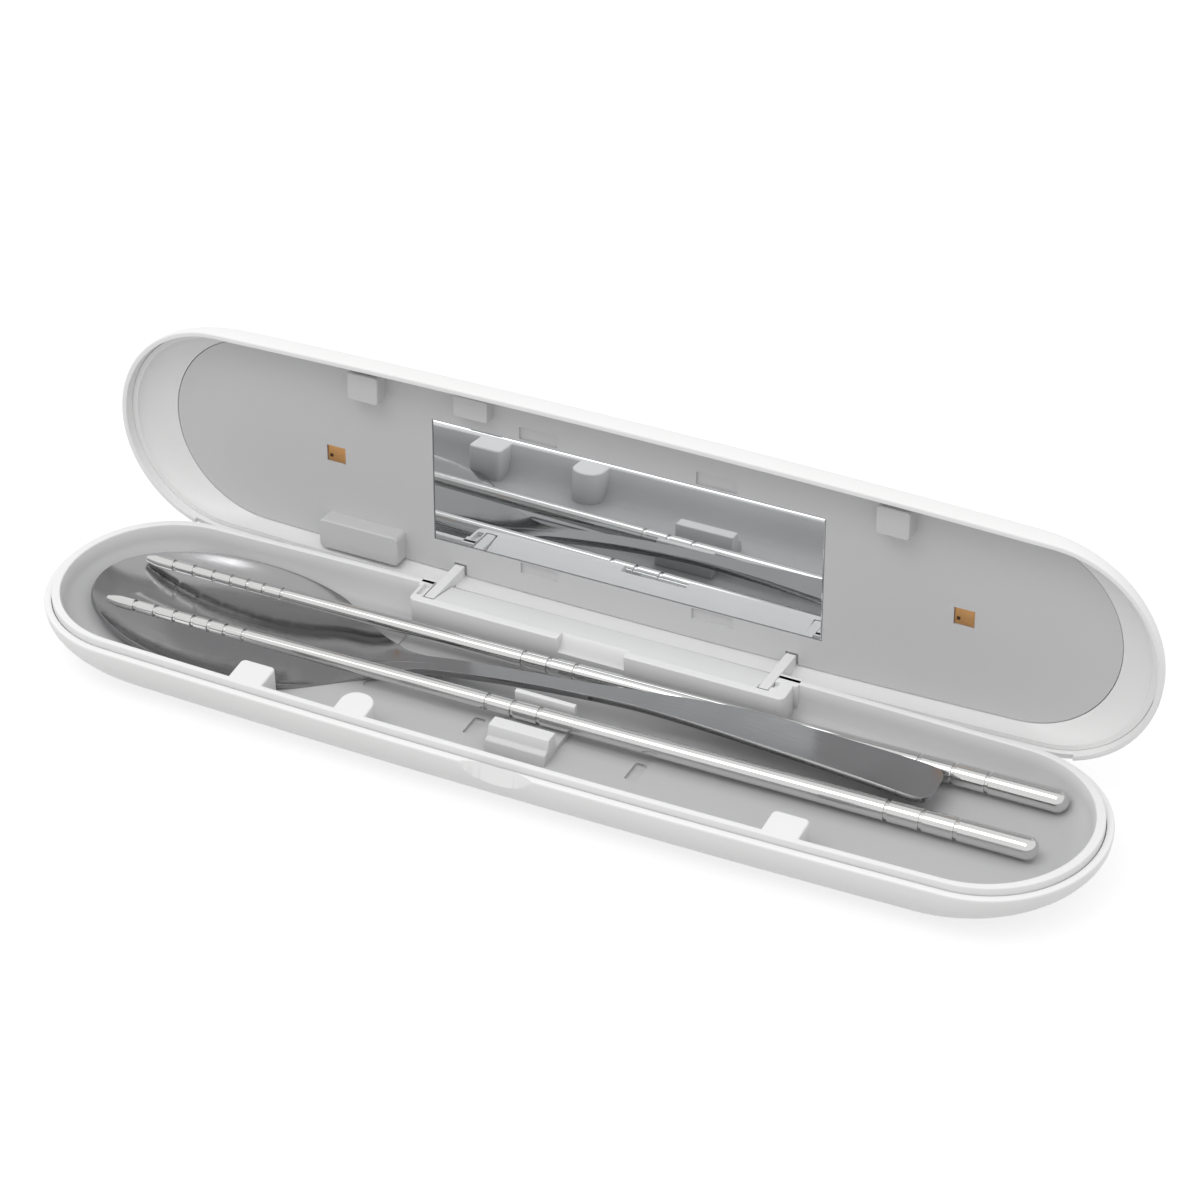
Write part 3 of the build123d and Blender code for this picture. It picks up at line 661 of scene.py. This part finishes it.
def roundOver(inset, top, edge):
    runs = [edge * (1 - math.cos(t)) for t in arc(4)]
    ups = [top - edge + edge * math.sin(t) for t in arc(4)]
    return [(inset + run, inset + run, up) for run, up in zip(runs, ups)]


def makeTrayBody(values):
    top, edge = values["lipUp"], values["edge"]
    rings = bowlRings(baseValues, values["lipOuter"], -1, values["skirtTurn"], 0, 5)
    rings += roundOver(values["lipOuter"], top, edge)
    for t in arc(4):
        run = edge * math.sin(t) - edge
        rings.append((values["lipEnd"] + run, values["lipSide"] + run, top - edge + edge * math.cos(t)))
    (end, side, up), (endRun, sideRun, upRun) = values["wallTop"], values["wallRun"]
    for t in arc(12):
        run = 1 - math.cos(t)
        rings.append((end + endRun * run, side + sideRun * run, up - upRun * math.sin(t)))
    return ringStack("tray", ovalCount, rings, ovalRing)


def spoonDish(values, name, grow, low, high):
    deselect()
    bpy.ops.mesh.primitive_uv_sphere_add(segments=128, ring_count=64, radius=mm)
    dish = current(name)
    x, y, up = values["dishCentre"]
    dish.scale = [half + grow for half in values["dishHalf"]]
    dish.rotation_euler = (0, 0, math.radians(values["dishTurn"]))
    dish.location = Vector((x, y, rim + up)) * mm
    bpy.ops.object.transform_apply(location=True, rotation=True, scale=True)
    setMode("EDIT")
    for height, keepLower in ((high, True), (low, False)):
        selectMesh()
        bpy.ops.mesh.bisect(plane_co=(0, 0, height * mm), plane_no=(0, 0, 1), use_fill=True,
                            clear_outer=keepLower, clear_inner=not keepLower)
    setMode("OBJECT")
    return dish


# Level of the slope between the arms, above the rim.
def slopeUp(values, y):
    return values["lipUp"] - values["slope"] * (y - values["ridgeY"])


# Side view of all that lies above the slope behind a place.
def aboveSlope(values, y):
    return [(y, slopeUp(values, y)), (backEnd, slopeUp(values, backEnd)), (backEnd, 5), (y, 5)]


def smoothStep(value):
    value = min(max(value, 0), 1)
    return value * value * (3 - 2 * value)


def makeTray(values):
    top = values["lipUp"]
    tray = makeTrayBody(values)
    floor = rim - values["floorDown"]
    low, lowInner = (rim - down for down in values["dishDown"])
    high, highInner = (floor + up for up in values["dishTop"])
    combine(tray, [spoonDish(values, "dishOuter", values["dishWall"], low, high)], "UNION")
    combine(tray, [spoonDish(values, "dishInner", 0, lowInner, highInner)])
    half, (y0, y1) = values["slotHalf"], values["slotRun"]
    cuts = [block("channel", *values["channel"], floor - values["channelDeep"], floor + 1, corner=0.8)]
    cuts += [block("slot", x - half, x + half, y0, y1, floor - values["slotDeep"], floor + 1, corner=0.4)
             for x in values["slots"]]
    combine(tray, cuts)
    adds = []
    for x, half, front, corner in values["tabs"]:
        tab = block("tab", x - half, x + half, front, values["tabBack"], floor - values["tabDown"], rim + top,
                    corner=corner, edge=values["tabEdge"], ends=(1,), backOnly=True)
        for point in tab.data.vertices:
            if point.co.z > (rim + top - 1) * mm:
                point.co.z += values["tabSlope"] * (point.co.y - values["tabLevelY"] * mm)
        adds.append(tab)
    adds.append(block("platform", *values["platform"], floor - values["platformDown"], rim + top,
                      corner=1.5, edge=0.3, ends=(1,)))
    combine(tray, adds, "UNION")
    rings = bowlRings(baseValues, 0, -1, values["flangeTurn"], 0, 6) + roundOver(0, top, values["flangeEdge"])
    flange = ringStack("flange", ovalCount, rings, ovalRing)
    zone = case["hingeZone"] - 0.2
    behindBlock = block("keep", -zone, zone, values["flangeY"], 30, rim - values["flangeDown"], rim + 3)
    combine(flange, [behindBlock], "INTERSECT")
    combine(tray, [flange], "UNION")
    clip = [profile("clip", points, x0, x1, edge) for points, x0, x1, edge in values["clip"]]
    combine(tray, clip, "UNION")
    down, start, run = values["rampDown"], values["rampY"], values["rampRun"]
    front, back = start - values["rampSpare"][0], start + run + values["rampSpare"][1]
    ramp = [(front, top + 0.4), (front, -down)]
    for i in range(13):
        share = i / 12
        ramp.append((start + run * share, (top + down) * smoothStep(share) - down))
    ramp += [(back, top), (back, top + 0.4)]
    cuts = [profile("ramp", ramp, *values["rampEnds"])]
    slot, zone = case["armSlot"], case["hingeZone"] + 1
    left, right = case["arms"]
    hollow = aboveSlope(values, values["ridgeY"])
    cuts.append(profile("fall", aboveSlope(values, values["flangeRidgeY"]), -zone, zone))
    cuts.append(profile("hollow", hollow, left + slot - 0.02, right - slot + 0.02))
    for x in case["arms"]:
        y, z = case["hingeY"], case["hingeZ"]
        cuts.append(rod("armSlot", (x, y, z), values["armRoom"], 2 * slot, "X", 160))
        cuts.append(block("armSlot", x - slot, x + slot, y, backEnd, z - values["armRoomDown"], rim + 3))
    for x, (x0, x1, y0, y1) in zip(case["arms"], values["pockets"]):
        cuts.append(block("pocket", x + x0, x + x1, y0, y1, rim + values["pocketUp"], rim + 3))
    combine(tray, cuts)
    # the tray's finish holds painted shade, greyer towards its floor
    settle(tray, "whiteAbsTrayPaintedShade", "base", "inner_plastic", "base_tray")


makeTray(trayValues)


# ---- lid, drawn closed and then swung open

lidValues = {
    "depth": 14.5,
    "corner": 13.5,
    "endStretch": 4.0,
    "wall": 1.3,
    "rimEdge": 0.35,
    "innerEdge": 0.2,
    # room for the hinge: along the whole back, and wider beside the arms
    "relief": 3.6,
    "reliefLength": 220,
    "armRelief": 4.7,
    "buttonHole": 5.6,
    "lensHole": 1.55,
    "lensX": 14,
    # opening for the socket: ends and levels
    "socket": (-71.5, -61.9, 4.5, 8.3),
    "socketCorner": 1.85,
}


def hingeRelief(values):
    place = (case["hingeY"], case["hingeZ"])
    zone, slot = case["hingeZone"] + 0.3, case["armSlot"]
    left, right = case["arms"]
    tools = [rod("relief", (0,) + place, values["relief"], values["reliefLength"], "X", 96)]
    for x0, x1 in ((-zone, left + slot), (right - slot, zone)):
        tools.append(rod("relief", ((x0 + x1) / 2,) + place, values["armRelief"], x1 - x0, "X", 96))
    return tools


def makeLidShell(values):
    shell = bowl("lidShell", values, 1)
    cuts = hingeRelief(values)
    high = rim + values["depth"] - 0.5
    cuts.append(rod("hole", (0, 0, high), values["buttonHole"], 4))
    cuts.append(rod("hole", (values["lensX"], 0, high), values["lensHole"], 4))
    x0, x1, z0, z1 = values["socket"]
    cuts.append(block("hole", x0, x1, 22.5, 30.0, rim + z0, rim + z1, corner=values["socketCorner"], axis=1))
    combine(shell, cuts)
    settle(shell, "whiteAbsSatin", "lid", "outer_plastic", "lid_shell")


frameValues = {
    # ring inside the lid: two insets and a level at its lip, and how far they go upward
    "lip": (3.0, 2.6, 2.2),
    "lipRun": (8.25, 0.75, 4.4),
    "lipPower": (1.7, 1.9),
    "top": (11.25, 3.4, 7.4),
    "back": 1.45,
    "levels": (7.4, 6.6, 5.8, 5.0, 4.2, 3.4, 2.2),
    # apron behind the hinge block, between the arms
    "apronLevels": (0.4, 1.0, 2.2, 3.4, 4.6, 5.8, 6.9),
    "apronSide": [(24.47, 1.0), (24.9, 6.65), (29, 6.65), (29, 1.0)],
    "socket": (-71.4, -62.0, 4.6, 8.2),
    # hinge arm from the side, measured from the hinge's axis
    "armSide": [(-3.87, -6.37), (-4.12, 8.95), (-0.6, 8.95), (0.4, 4.7), (1.9, 3.1), (2.2, 0.0),
                (1.6, -1.6), (-0.3, -2.0)],
    "armEdge": 0.2,
    "boss": 2.3,
    "bore": 0.85,
}


# Ring that follows the inside of the lid's bowl at a level above the rim.
def lidRing(inset, up):
    radius = lidValues["corner"] - inset
    turn = math.asin(max(up - lidValues["depth"] + lidValues["corner"], 0) / radius)
    run = radius * (1 - math.cos(turn))
    return inset + lidValues["endStretch"] * run, inset + run, up


def makeLidFrame(values):
    (end, side, up), (endRun, sideRun, upRun) = values["lip"], values["lipRun"]
    endPower, sidePower = values["lipPower"]
    rings = []
    for i in range(13):
        share = i / 12
        rings.append((end + endRun * share ** endPower, side + sideRun * share ** sidePower,
                      up + upRun * share))
    rings += [values["top"]] + [lidRing(values["back"], level) for level in values["levels"]]
    ring = ringStack("frame", ovalCount, rings, ovalRing, hoop=True)
    apronRings = [lidRing(values["back"], level) for level in values["apronLevels"]]
    apron = ringStack("apron", ovalCount, apronRings, ovalRing)
    combine(apron, [profile("apronSide", values["apronSide"], *case["arms"])], "INTERSECT")
    combine(ring, [apron], "UNION")
    x0, x1, z0, z1 = values["socket"]
    combine(ring, hingeRelief(lidValues) + [block("hole", x0, x1, 24.0, 30.0, rim + z0, rim + z1)])
    pieces = [ring]
    half, y, z = case["armHalf"], case["hingeY"], case["hingeZ"]
    side = [(y + dy, z - rim + dz) for dy, dz in values["armSide"]]
    for x in case["arms"]:
        arm = profile("arm", side, x - half, x + half, values["armEdge"])
        combine(arm, [rod("boss", (x, y, z), values["boss"], 2 * half, "X", 48)], "UNION")
        combine(arm, [rod("bore", (x, y, z), values["bore"], 6, "X", 32)])
        pieces.append(arm)
    ring = join(pieces, "lidFrame")
    settle(ring, "whiteAbsInner", "lid", "inner_plastic", "lid_frame")


linerValues = {
    "up": 6.6,
    "thick": 1.3,
    "endInset": 11.4,
    "sideInset": 3.5,
    "edge": 0.2,
    # thicker places behind the plate: ends, front and back
    "backing": [(-50, 50, -17, 18.8), (-68, -45, -11, 11)],
    "backingUp": (7.2, 8.7),
    # magnet blocks, sensor pad and socket housing: ends, front and back, level, corner, edge
    "pads": [(-68.9, -61.1, -24.2, -17.2, 2.4, 0.8, 0.35), (61.1, 68.9, -24.2, -17.2, 2.4, 0.8, 0.35),
             (-42.4, -33.8, -24.4, -19.0, 3.6, 0.5, 0.3), (-77.7, -57.0, 16.7, 24.2, 2.4, 1.1, 0.4)],
    "padTop": 6.9,
    # cuts from the face: ends, front and back, and the level that they reach
    "cutLow": 5.6,
    "pocket": (-49.5, 47.8, -14.9, 16.7, 7.6),
    "windows": [(-77.25, -72.35, -1.15, 3.15, 8.9), (78.45, 83.35, -1.15, 3.15, 8.9)],
    "recesses": [(-27.3, -17.7, -18.6, -15.4, 7.2), (16.5, 26.4, -18.6, -15.4, 7.2),
                 (-27.2, -17.7, 16.9, 19.8, 7.2), (15.9, 26.1, 16.9, 19.8, 7.2)],
    "recessCorner": 0.3,
    # notches for the arms: ends from the arm, front and back, levels
    "armNotch": (-1.5, 1.65, 21.6, 26, 5.9, 7.3),
}


def makeLiner(values):
    up, edge = values["up"], values["edge"]
    rings = [(values["endInset"], values["sideInset"], up + values["thick"])]
    for t in arc(3):
        inset = edge * (1 - math.cos(t))
        rings.append((values["endInset"] + inset, values["sideInset"] + inset, up + edge - edge * math.sin(t)))
    plate = ringStack("liner", ovalCount, rings, ovalRing)
    low, high = values["backingUp"]
    adds = [block("pad", *place, rim + low, rim + high) for place in values["backing"]]
    for x0, x1, y0, y1, low, corner, padEdge in values["pads"]:
        adds.append(block("pad", x0, x1, y0, y1, rim + low, rim + values["padTop"], corner=corner, edge=padEdge,
                          ends=(0,)))
    combine(plate, adds, "UNION")
    cuts = []
    for x0, x1, y0, y1, high in [values["pocket"]] + values["windows"]:
        cuts.append(block("pocket", x0, x1, y0, y1, rim + values["cutLow"], rim + high))
    for x0, x1, y0, y1, high in values["recesses"]:
        cuts.append(block("recess", x0, x1, y0, y1, rim + values["cutLow"], rim + high,
                          corner=values["recessCorner"]))
    x0, x1, y0, y1, low, high = values["armNotch"]
    cuts += [block("armNotch", x + x0, x + x1, y0, y1, rim + low, rim + high) for x in case["arms"]]
    combine(plate, cuts)
    # the liner's grey is painted shade on white plastic
    settle(plate, "paleAbsLinerPaintedShade", "lid", "liner_plastic", "lid_liner")


makeLidShell(lidValues)
makeLidFrame(frameValues)
makeLiner(linerValues)


# ---- mirror and lamps

mirrorValues = {"x": -0.85, "y": 0.9, "length": 97.1, "width": 31.4, "up": 6.6, "thick": 0.8, "edge": 0.3}


def makeMirror(values):
    x, y, low = values["x"], values["y"], rim + values["up"]
    halfX, halfY = values["length"] / 2, values["width"] / 2
    plate = block("mirrorPlate", x - halfX, x + halfX, y - halfY, y + halfY, low, low + values["thick"],
                  edge=values["edge"], ends=(0,), steps=1)
    settle(plate, "silveredGlass", "lid", "mirror_glass", "mirror", angle=10, weighted=False)


lampValues = {
    "places": (-74.8, 80.9),
    "y": 1.0,
    "length": 4.7,
    "width": 4.1,
    "up": 6.9,
    "thick": 1.5,
    "corner": 0.25,
    "edge": 0.12,
    # small chip on the lamp's face: ends and sides from the lamp's middle
    "die": (-1.8, -1.0, 0.2, 1.0),
    "dieUp": 0.12,
}


def makeLamps(values):
    lamps, dies = [], []
    y, up = values["y"], rim + values["up"]
    halfX, halfY = values["length"] / 2, values["width"] / 2
    x0, x1, y0, y1 = values["die"]
    for x in values["places"]:
        lamps.append(block("lamp", x - halfX, x + halfX, y - halfY, y + halfY, up, up + values["thick"],
                           corner=values["corner"], edge=values["edge"], ends=(0,)))
        dies.append(block("die", x + x0, x + x1, y + y0, y + y1, up - values["dieUp"], up + 0.3,
                          corner=0.15, edge=0.05, ends=(0,)))
    for pieces, name, finish in ((lamps, "lamps", "goldPlatedFrame"), (dies, "lampDies", "darkSiliconeDome")):
        piece = join(pieces, name)
        settle(piece, finish, "lid", "lamp_package", "uv_leds", weighted=False)


makeMirror(mirrorValues)
makeLamps(lampValues)


# ---- outside of the lid: button, lens

buttonValues = {"radius": 5.5, "up": 14.9, "low": 12.45, "skirt": 1.1, "skirtUp": 13.0, "dish": 0.35,
                "edge": 0.45, "sides": 72}


def makeButton(values):
    radius, edge, up = values["radius"], values["edge"], values["up"]
    skirt, skirtUp = radius + values["skirt"], values["skirtUp"]
    rings = [(skirt, values["low"]), (skirt, skirtUp), (radius, skirtUp), (radius, up - edge)]
    for t in arc(4):
        rings.append((radius - edge + edge * math.cos(t), up - edge + edge * math.sin(t)))
    for i in range(1, 9):
        share = 1 - i / 8.5
        rings.append(((radius - edge) * share, up - values["dish"] * (1 - share ** 2)))
    button = turnedPiece("button", values["sides"], rings)
    settle(button, "whiteAbsGloss", "button", "button_plastic", "power_button")


lensValues = {
    "rings": [(2.3, 13.1), (2.3, 13.4), (1.5, 13.4), (1.5, 14.38), (1.38, 14.5), (0.9, 14.5), (0.3, 14.5)],
    "sides": 40,
}


def makeLens(values):
    lens = turnedPiece("indicatorLens", values["sides"], values["rings"], lidValues["lensX"])
    settle(lens, "frostedPcLens", "lid", "lens_clear", "indicator_lens")


makeButton(buttonValues)
makeLens(lensValues)


# ---- chopsticks

stickValues = {
    "length": 227.0,
    "tip": 1.35,
    "middle": 2.1,
    "grip": 2.6,
    # (place along the stick, radius) at the blunt tip, and where it has eased into the shaft
    "tipRings": [(0.0, 0.15), (0.0, 0.5), (0.12, 0.66), (0.35, 0.8), (1.8, 1.1)],
    "tipEase": (3.2, 3.8),
    "tipStep": 0.02,
    "grooves": (7.8, 13.1, 18.3, 23.0, 27.3, 31.5, 36.3, 98.0, 104.3, 110.8, 193.0, 201.0, 208.9),
    "grooveWidth": 0.8,
    "grooveDepth": 0.35,
    "grooveEdge": 0.12,
    "grooveLean": 0.05,
    "x": 0.8,
    "down": 2.4,
    "yaw": 1.09,
    "tilt": 0.352,
    "sides": 64,
    "frontY": -4.05,
    "rearY": 13.4,
}


def shaftRadius(values, along):
    half = values["length"] / 2
    if along < half:
        return values["tip"] + (values["middle"] - values["tip"]) * along / half
    return values["middle"] + (values["grip"] - values["middle"]) * (along / half - 1)


def makeStick(values, name, y, body, node):
    start, stop = values["tipEase"]
    rings = values["tipRings"] + [(start, shaftRadius(values, start) - values["tipStep"]),
                                  (stop, shaftRadius(values, stop))]
    half, edge, lean = values["grooveWidth"] / 2, values["grooveEdge"], values["grooveLean"]
    for along in values["grooves"]:
        radius = shaftRadius(values, along)
        deep = radius - values["grooveDepth"]
        rings += [(along - half - edge, radius), (along - half, radius - edge / 2), (along - half + lean, deep),
                  (along + half - lean, deep), (along + half, radius - edge / 2), (along + half + edge, radius)]
    shoulder = values["length"] - values["grip"]
    rings.append((shoulder - 2, shaftRadius(values, shoulder - 2)))
    for t in arc(12, 0, 88):
        rings.append((shoulder + values["grip"] * math.sin(t), values["grip"] * math.cos(t)))

    def where(place, ring):
        turn = 2 * math.pi * place / values["sides"]
        return ring[0] - values["length"] / 2, ring[1] * math.cos(turn), ring[1] * math.sin(turn)

    stick = ringStack(name, values["sides"], rings, where)
    turn = Matrix.Rotation(math.radians(values["yaw"]), 4, "Z")
    tilt = Matrix.Rotation(math.radians(values["tilt"]), 4, "Y")
    seat = Matrix.Translation(Vector((values["x"], y, rim - values["down"])) * mm)
    stick.data.transform(seat @ tilt @ turn)
    settle(stick, "stainlessMirrorPolish", body, "cutlery_steel", node, angle=25, weighted=False)


makeStick(stickValues, "frontStick", stickValues["frontY"], "front_chopstick", "front_chopstick")
makeStick(stickValues, "rearStick", stickValues["rearY"], "rear_chopstick", "rear_chopstick")


# ---- spoon

spoonValues = {
    "x": -81.5,
    "y": 1.6,
    "turn": -1.5,
    "half": (38.4, 22.0, 8.5),
    "lipInset": 0.45,
    "bowlTurn": 118,
    "bowlSteps": 34,
    "joinSteps": 14,
    "handleSteps": 41,
    "sheet": 1.05,
    "down": 0.8,
    "rimDown": 3.4,
    "rimSlope": 2.1,
    "neck": -42.0,
    "end": 88.2,
    "endRadius": 5.5,
    "endY": 6.2,
    "endPower": 0.62,
    "endSteps": 16,
    "handleDown": 4.2,
    "handleRise": 9.0,
    "handleEase": 45.0,
    "handleBow": 4.35,
    "handleSheet": 1.55,
    "frontLine": [(-34.0, 0.9), (0.0, 2.2), (19.0, 2.65), (48.7, 1.4), (82.7, 0.4)],
    "backLine": [(-34.0, 6.0), (0.0, 6.4), (16.5, 8.15), (43.7, 11.5), (59.2, 11.3), (82.7, 11.9)],
    # (start, length) along the spoon of the changes from bowl to handle
    "edgeChange": (-60, 16),
    "softChange": (-66, 14),
    "spineChange": (-70, 40),
    "sheetChange": (-60, 25),
    "soft": (0.7, 1.3),
    # parts of the way from the spine to the edge at which the sheet has points
    "shares": [1.0, 0.985, 0.96, 0.92, 0.87, 0.8, 0.72, 0.62, 0.5, 0.38, 0.25, 0.12, 0.0],
    "edge": 0.35,
}


def changed(change, x):
    return smoothStep((x - change[0]) / change[1])


def handleUp(values, x):
    along = max(x - values["neck"], 0)
    rise = values["handleRise"] * (1 - math.exp(-along / values["handleEase"]))
    return rise - values["handleDown"] - values["handleBow"] * (along / (values["end"] - values["neck"])) ** 3


# Level of the spoon's edge: the sloping rim of the bowl, easing into the handle.
def edgeUp(values, x):
    bowl = -values["rimDown"] - math.tan(math.radians(values["rimSlope"])) * (x - values["x"])
    share = changed(values["edgeChange"], x)
    return bowl * (1 - share) + handleUp(values, x) * share


# Top face of the sheet: the hollow of the bowl, held under the level of the edge.
def spoonTop(values, x, y):
    a, b, c = values["half"]
    a, b, c = a - values["lipInset"], b - values["lipInset"], c - values["sheet"]
    turn = math.radians(-values["turn"])
    dx, dy = x - values["x"], y - values["y"]
    u, v = dx * math.cos(turn) - dy * math.sin(turn), dx * math.sin(turn) + dy * math.cos(turn)
    inside = 1 - (u / a) ** 2 - (v / b) ** 2
    hollow = -values["down"] - c * math.sqrt(inside) if inside > 0 else -values["down"] - 12 * inside
    level = edgeUp(values, x)
    ease = values["soft"][0] + values["soft"][1] * changed(values["softChange"], x)
    gap = (level - hollow) / ease
    if gap > 12:
        return hollow
    if gap < -12:
        return level
    return level - ease * math.log(1 + math.exp(gap))


# Curve from one height to another, with the rise that it has at each end over the whole way.
def risingCurve(t, start, startRise, stop, stopRise):
    t2, t3 = t * t, t * t * t
    return ((2 * t3 - 3 * t2 + 1) * start + (t3 - 2 * t2 + t) * startRise
            + (3 * t2 - 2 * t3) * stop + (t3 - t2) * stopRise)


def spline(points, x):
    xs = [p[0] for p in points]
    slopes = []
    for i in range(len(points)):
        low, high = max(i - 1, 0), min(i + 1, len(points) - 1)
        slopes.append((points[high][1] - points[low][1]) / (xs[high] - xs[low]))
    i = max(k for k in range(len(points) - 1) if x >= xs[k] or k == 0)
    width = xs[i + 1] - xs[i]
    return risingCurve((x - xs[i]) / width, points[i][1], width * slopes[i], points[i + 1][1],
                       width * slopes[i + 1])


# Edge of the spoon seen from above, tip of the bowl first; side is -1 in front, 1 behind.
def spoonEdge(values, side):
    a, b, c = values["half"]
    turn = math.radians(values["turn"])
    points = []
    for i in range(values["bowlSteps"]):
        angle = math.radians(values["bowlTurn"] * i / (values["bowlSteps"] - 1))
        x = values["x"] - a * math.cos(angle)
        # the edge is where the bowl meets its sloping rim, so its place needs a few rounds
        for _ in range(4):
            deep = (edgeUp(values, x) + values["down"]) / c
            scale = math.sqrt(max(1 - deep * deep, 0.01))
            u, v = -a * scale * math.cos(angle), side * b * scale * math.sin(angle)
            x = values["x"] + u * math.cos(turn) - v * math.sin(turn)
        points.append((x, values["y"] + u * math.sin(turn) + v * math.cos(turn)))
    start, last = points[-2], points[-1]
    line = values["frontLine"] if side < 0 else values["backLine"]
    slope = (last[1] - start[1]) / (last[0] - start[0])
    joinX = line[0][0]
    width = joinX - last[0]
    leave = (line[1][1] - line[0][1]) / (line[1][0] - joinX) * 1.15
    for i in range(1, values["joinSteps"] + 1):
        t = i / values["joinSteps"]
        y = risingCurve(t, last[1], width * slope * 1.25, line[0][1], width * leave)
        points.append((last[0] + width * t, y))
    for i in range(1, values["handleSteps"] + 1):
        x = joinX + (line[-1][0] - joinX) * i / values["handleSteps"]
        points.append((x, spline(line, x)))
    return points


def makeSpoon(values):
    front = spoonEdge(values, -1)
    back = spoonEdge(values, 1)
    # round end of the handle, from the front edge to the back one
    centre, radius, power = values["endY"], values["endRadius"], values["endPower"]
    turnX = values["end"] - radius
    cap = []
    low, high = front[-1][1], back[-1][1]
    for i in range(1, values["endSteps"]):
        angle = math.radians(-90 + 180 * i / values["endSteps"])
        bulge = math.copysign(abs(math.sin(angle)) ** power, math.sin(angle))
        half = high - centre if bulge > 0 else centre - low
        cap.append((turnX + radius * math.cos(angle) ** power, centre + bulge * half))
    outline = front + cap + back[:0:-1]
    spine = []
    for x, _ in outline:
        share = changed(values["spineChange"], x)
        bowlLine = values["y"] + math.tan(math.radians(values["turn"])) * (x - values["x"])
        handleX = min(max(x, values["frontLine"][0][0]), turnX)
        handleLine = (spline(values["frontLine"], handleX) + spline(values["backLine"], handleX)) / 2
        spine.append((min(max(x, values["x"] - 30), turnX), bowlLine * (1 - share) + handleLine * share))

    def where(place, share):
        (ex, ey), (sx, sy) = outline[place], spine[place]
        x, y = sx + (ex - sx) * share, sy + (ey - sy) * share
        return x, y, rim + spoonTop(values, x, y)

    spoon = growRings("spoonSheet", len(outline), values["shares"], where)
    closeMesh(0.05)
    if sum(face.normal.z for face in spoon.data.polygons) < 0:
        spoon.data.flip_normals()
    # thin in the bowl, thicker along the handle
    group = spoon.vertex_groups.new(name="thick")
    for point in spoon.data.vertices:
        share = changed(values["sheetChange"], point.co.x / mm)
        thick = values["sheet"] * (1 - share) + values["handleSheet"] * share
        group.add([point.index], thick / values["handleSheet"], "REPLACE")
    apply(spoon, "SOLIDIFY", thickness=values["handleSheet"] * mm, offset=-1.0, use_even_offset=True,
          use_rim=True, vertex_group="thick")
    roundEdges(spoon, values["edge"], 3, 50)
    settle(spoon, "stainlessSoftPolish", "spoon", "cutlery_steel", "spoon", angle=40, weighted=False)


makeSpoon(spoonValues)


# ---- studio: pale floor, soft light

studioValues = {
    "domeTop": 1.08,
    "domeLow": 0.55,
    "domeTopHeight": 0.9,
    "softbox": 3.1,
    "floorAlbedo": "#c6c6c6",
    "floorSize": 6,
    # what the camera sees of the floor: a dull part, which takes the shadow, and a glow
    "floorSeen": (0.3, 0.3, 0.3, 1),
    "floorGlow": 0.76,
    "lampSize": (0.8, 0.5),
    "lampPlace": (-0.2, -0.5, 1.15),
}
white = (1, 1, 1, 1)


# 1 where the camera looks, straight or by way of a gloss or a glass.
def seenByCamera(tree):
    ray = addNode(tree, "LightPath")
    seen = addNode(tree, "Math", {"operation": "MAXIMUM"},
                   {0: ray.outputs["Is Camera Ray"], 1: ray.outputs["Is Glossy Ray"]})
    return addNode(tree, "Math", {"operation": "MAXIMUM"},
                   {0: seen.outputs[0], 1: ray.outputs["Is Transmission Ray"]}).outputs[0]


def makeStudio(values):
    world = bpy.data.worlds.new("studio")
    bpy.context.scene.world = world
    world.use_nodes = True
    tree = world.node_tree
    tree.nodes.clear()
    place = addNode(tree, "TexCoord").outputs["Generated"]
    height = addNode(tree, "SeparateXYZ", {}, {"Vector": place}).outputs["Z"]
    level = addNode(tree, "MapRange", {"From Max": values["domeTopHeight"], "To Min": values["domeLow"],
                                       "To Max": values["domeTop"]}, {"Value": height})
    dome = addNode(tree, "Background", {"Color": white}, {"Strength": level.outputs["Result"]})
    plain = addNode(tree, "Background", {"Color": white, "Strength": 1.0})
    mix = addNode(tree, "MixShader", {}, {0: seenByCamera(tree), 1: dome.outputs[0], 2: plain.outputs[0]})
    addNode(tree, "OutputWorld", {}, {"Surface": mix.outputs[0]})

    deselect()
    bpy.ops.mesh.primitive_plane_add(size=values["floorSize"], location=(0, 0, 0))
    floor = current("floor")
    # matt painted board: soft shadow of the case, otherwise white to the camera
    material, tree = newMaterial("mattWhiteBoard")
    dull = addNode(tree, "BsdfDiffuse", {"Color": shade(values["floorAlbedo"])})
    part = addNode(tree, "BsdfDiffuse", {"Color": values["floorSeen"]})
    glow = addNode(tree, "Emission", {"Color": white, "Strength": values["floorGlow"]})
    pale = addNode(tree, "AddShader", {}, {0: part.outputs[0], 1: glow.outputs[0]})
    mix = addNode(tree, "MixShader", {}, {0: seenByCamera(tree), 1: dull.outputs[0], 2: pale.outputs[0]})
    addNode(tree, "OutputMaterial", {}, {"Surface": mix.outputs[0]})
    floor.data.materials.append(material)

    # one large softbox in front, to the left and high up
    data = bpy.data.lights.new("softbox", "AREA")
    data.shape = "RECTANGLE"
    data.size, data.size_y = values["lampSize"]
    data.energy = values["softbox"]
    lamp = bpy.data.objects.new("softbox", data)
    bpy.context.scene.collection.objects.link(lamp)
    lamp.location = values["lampPlace"]
    lamp.rotation_mode = "QUATERNION"
    lamp.rotation_quaternion = (-lamp.location).to_track_quat("-Z", "Y")


makeStudio(studioValues)
bpy.context.scene.view_settings.view_transform = "Standard"
print("studio set")
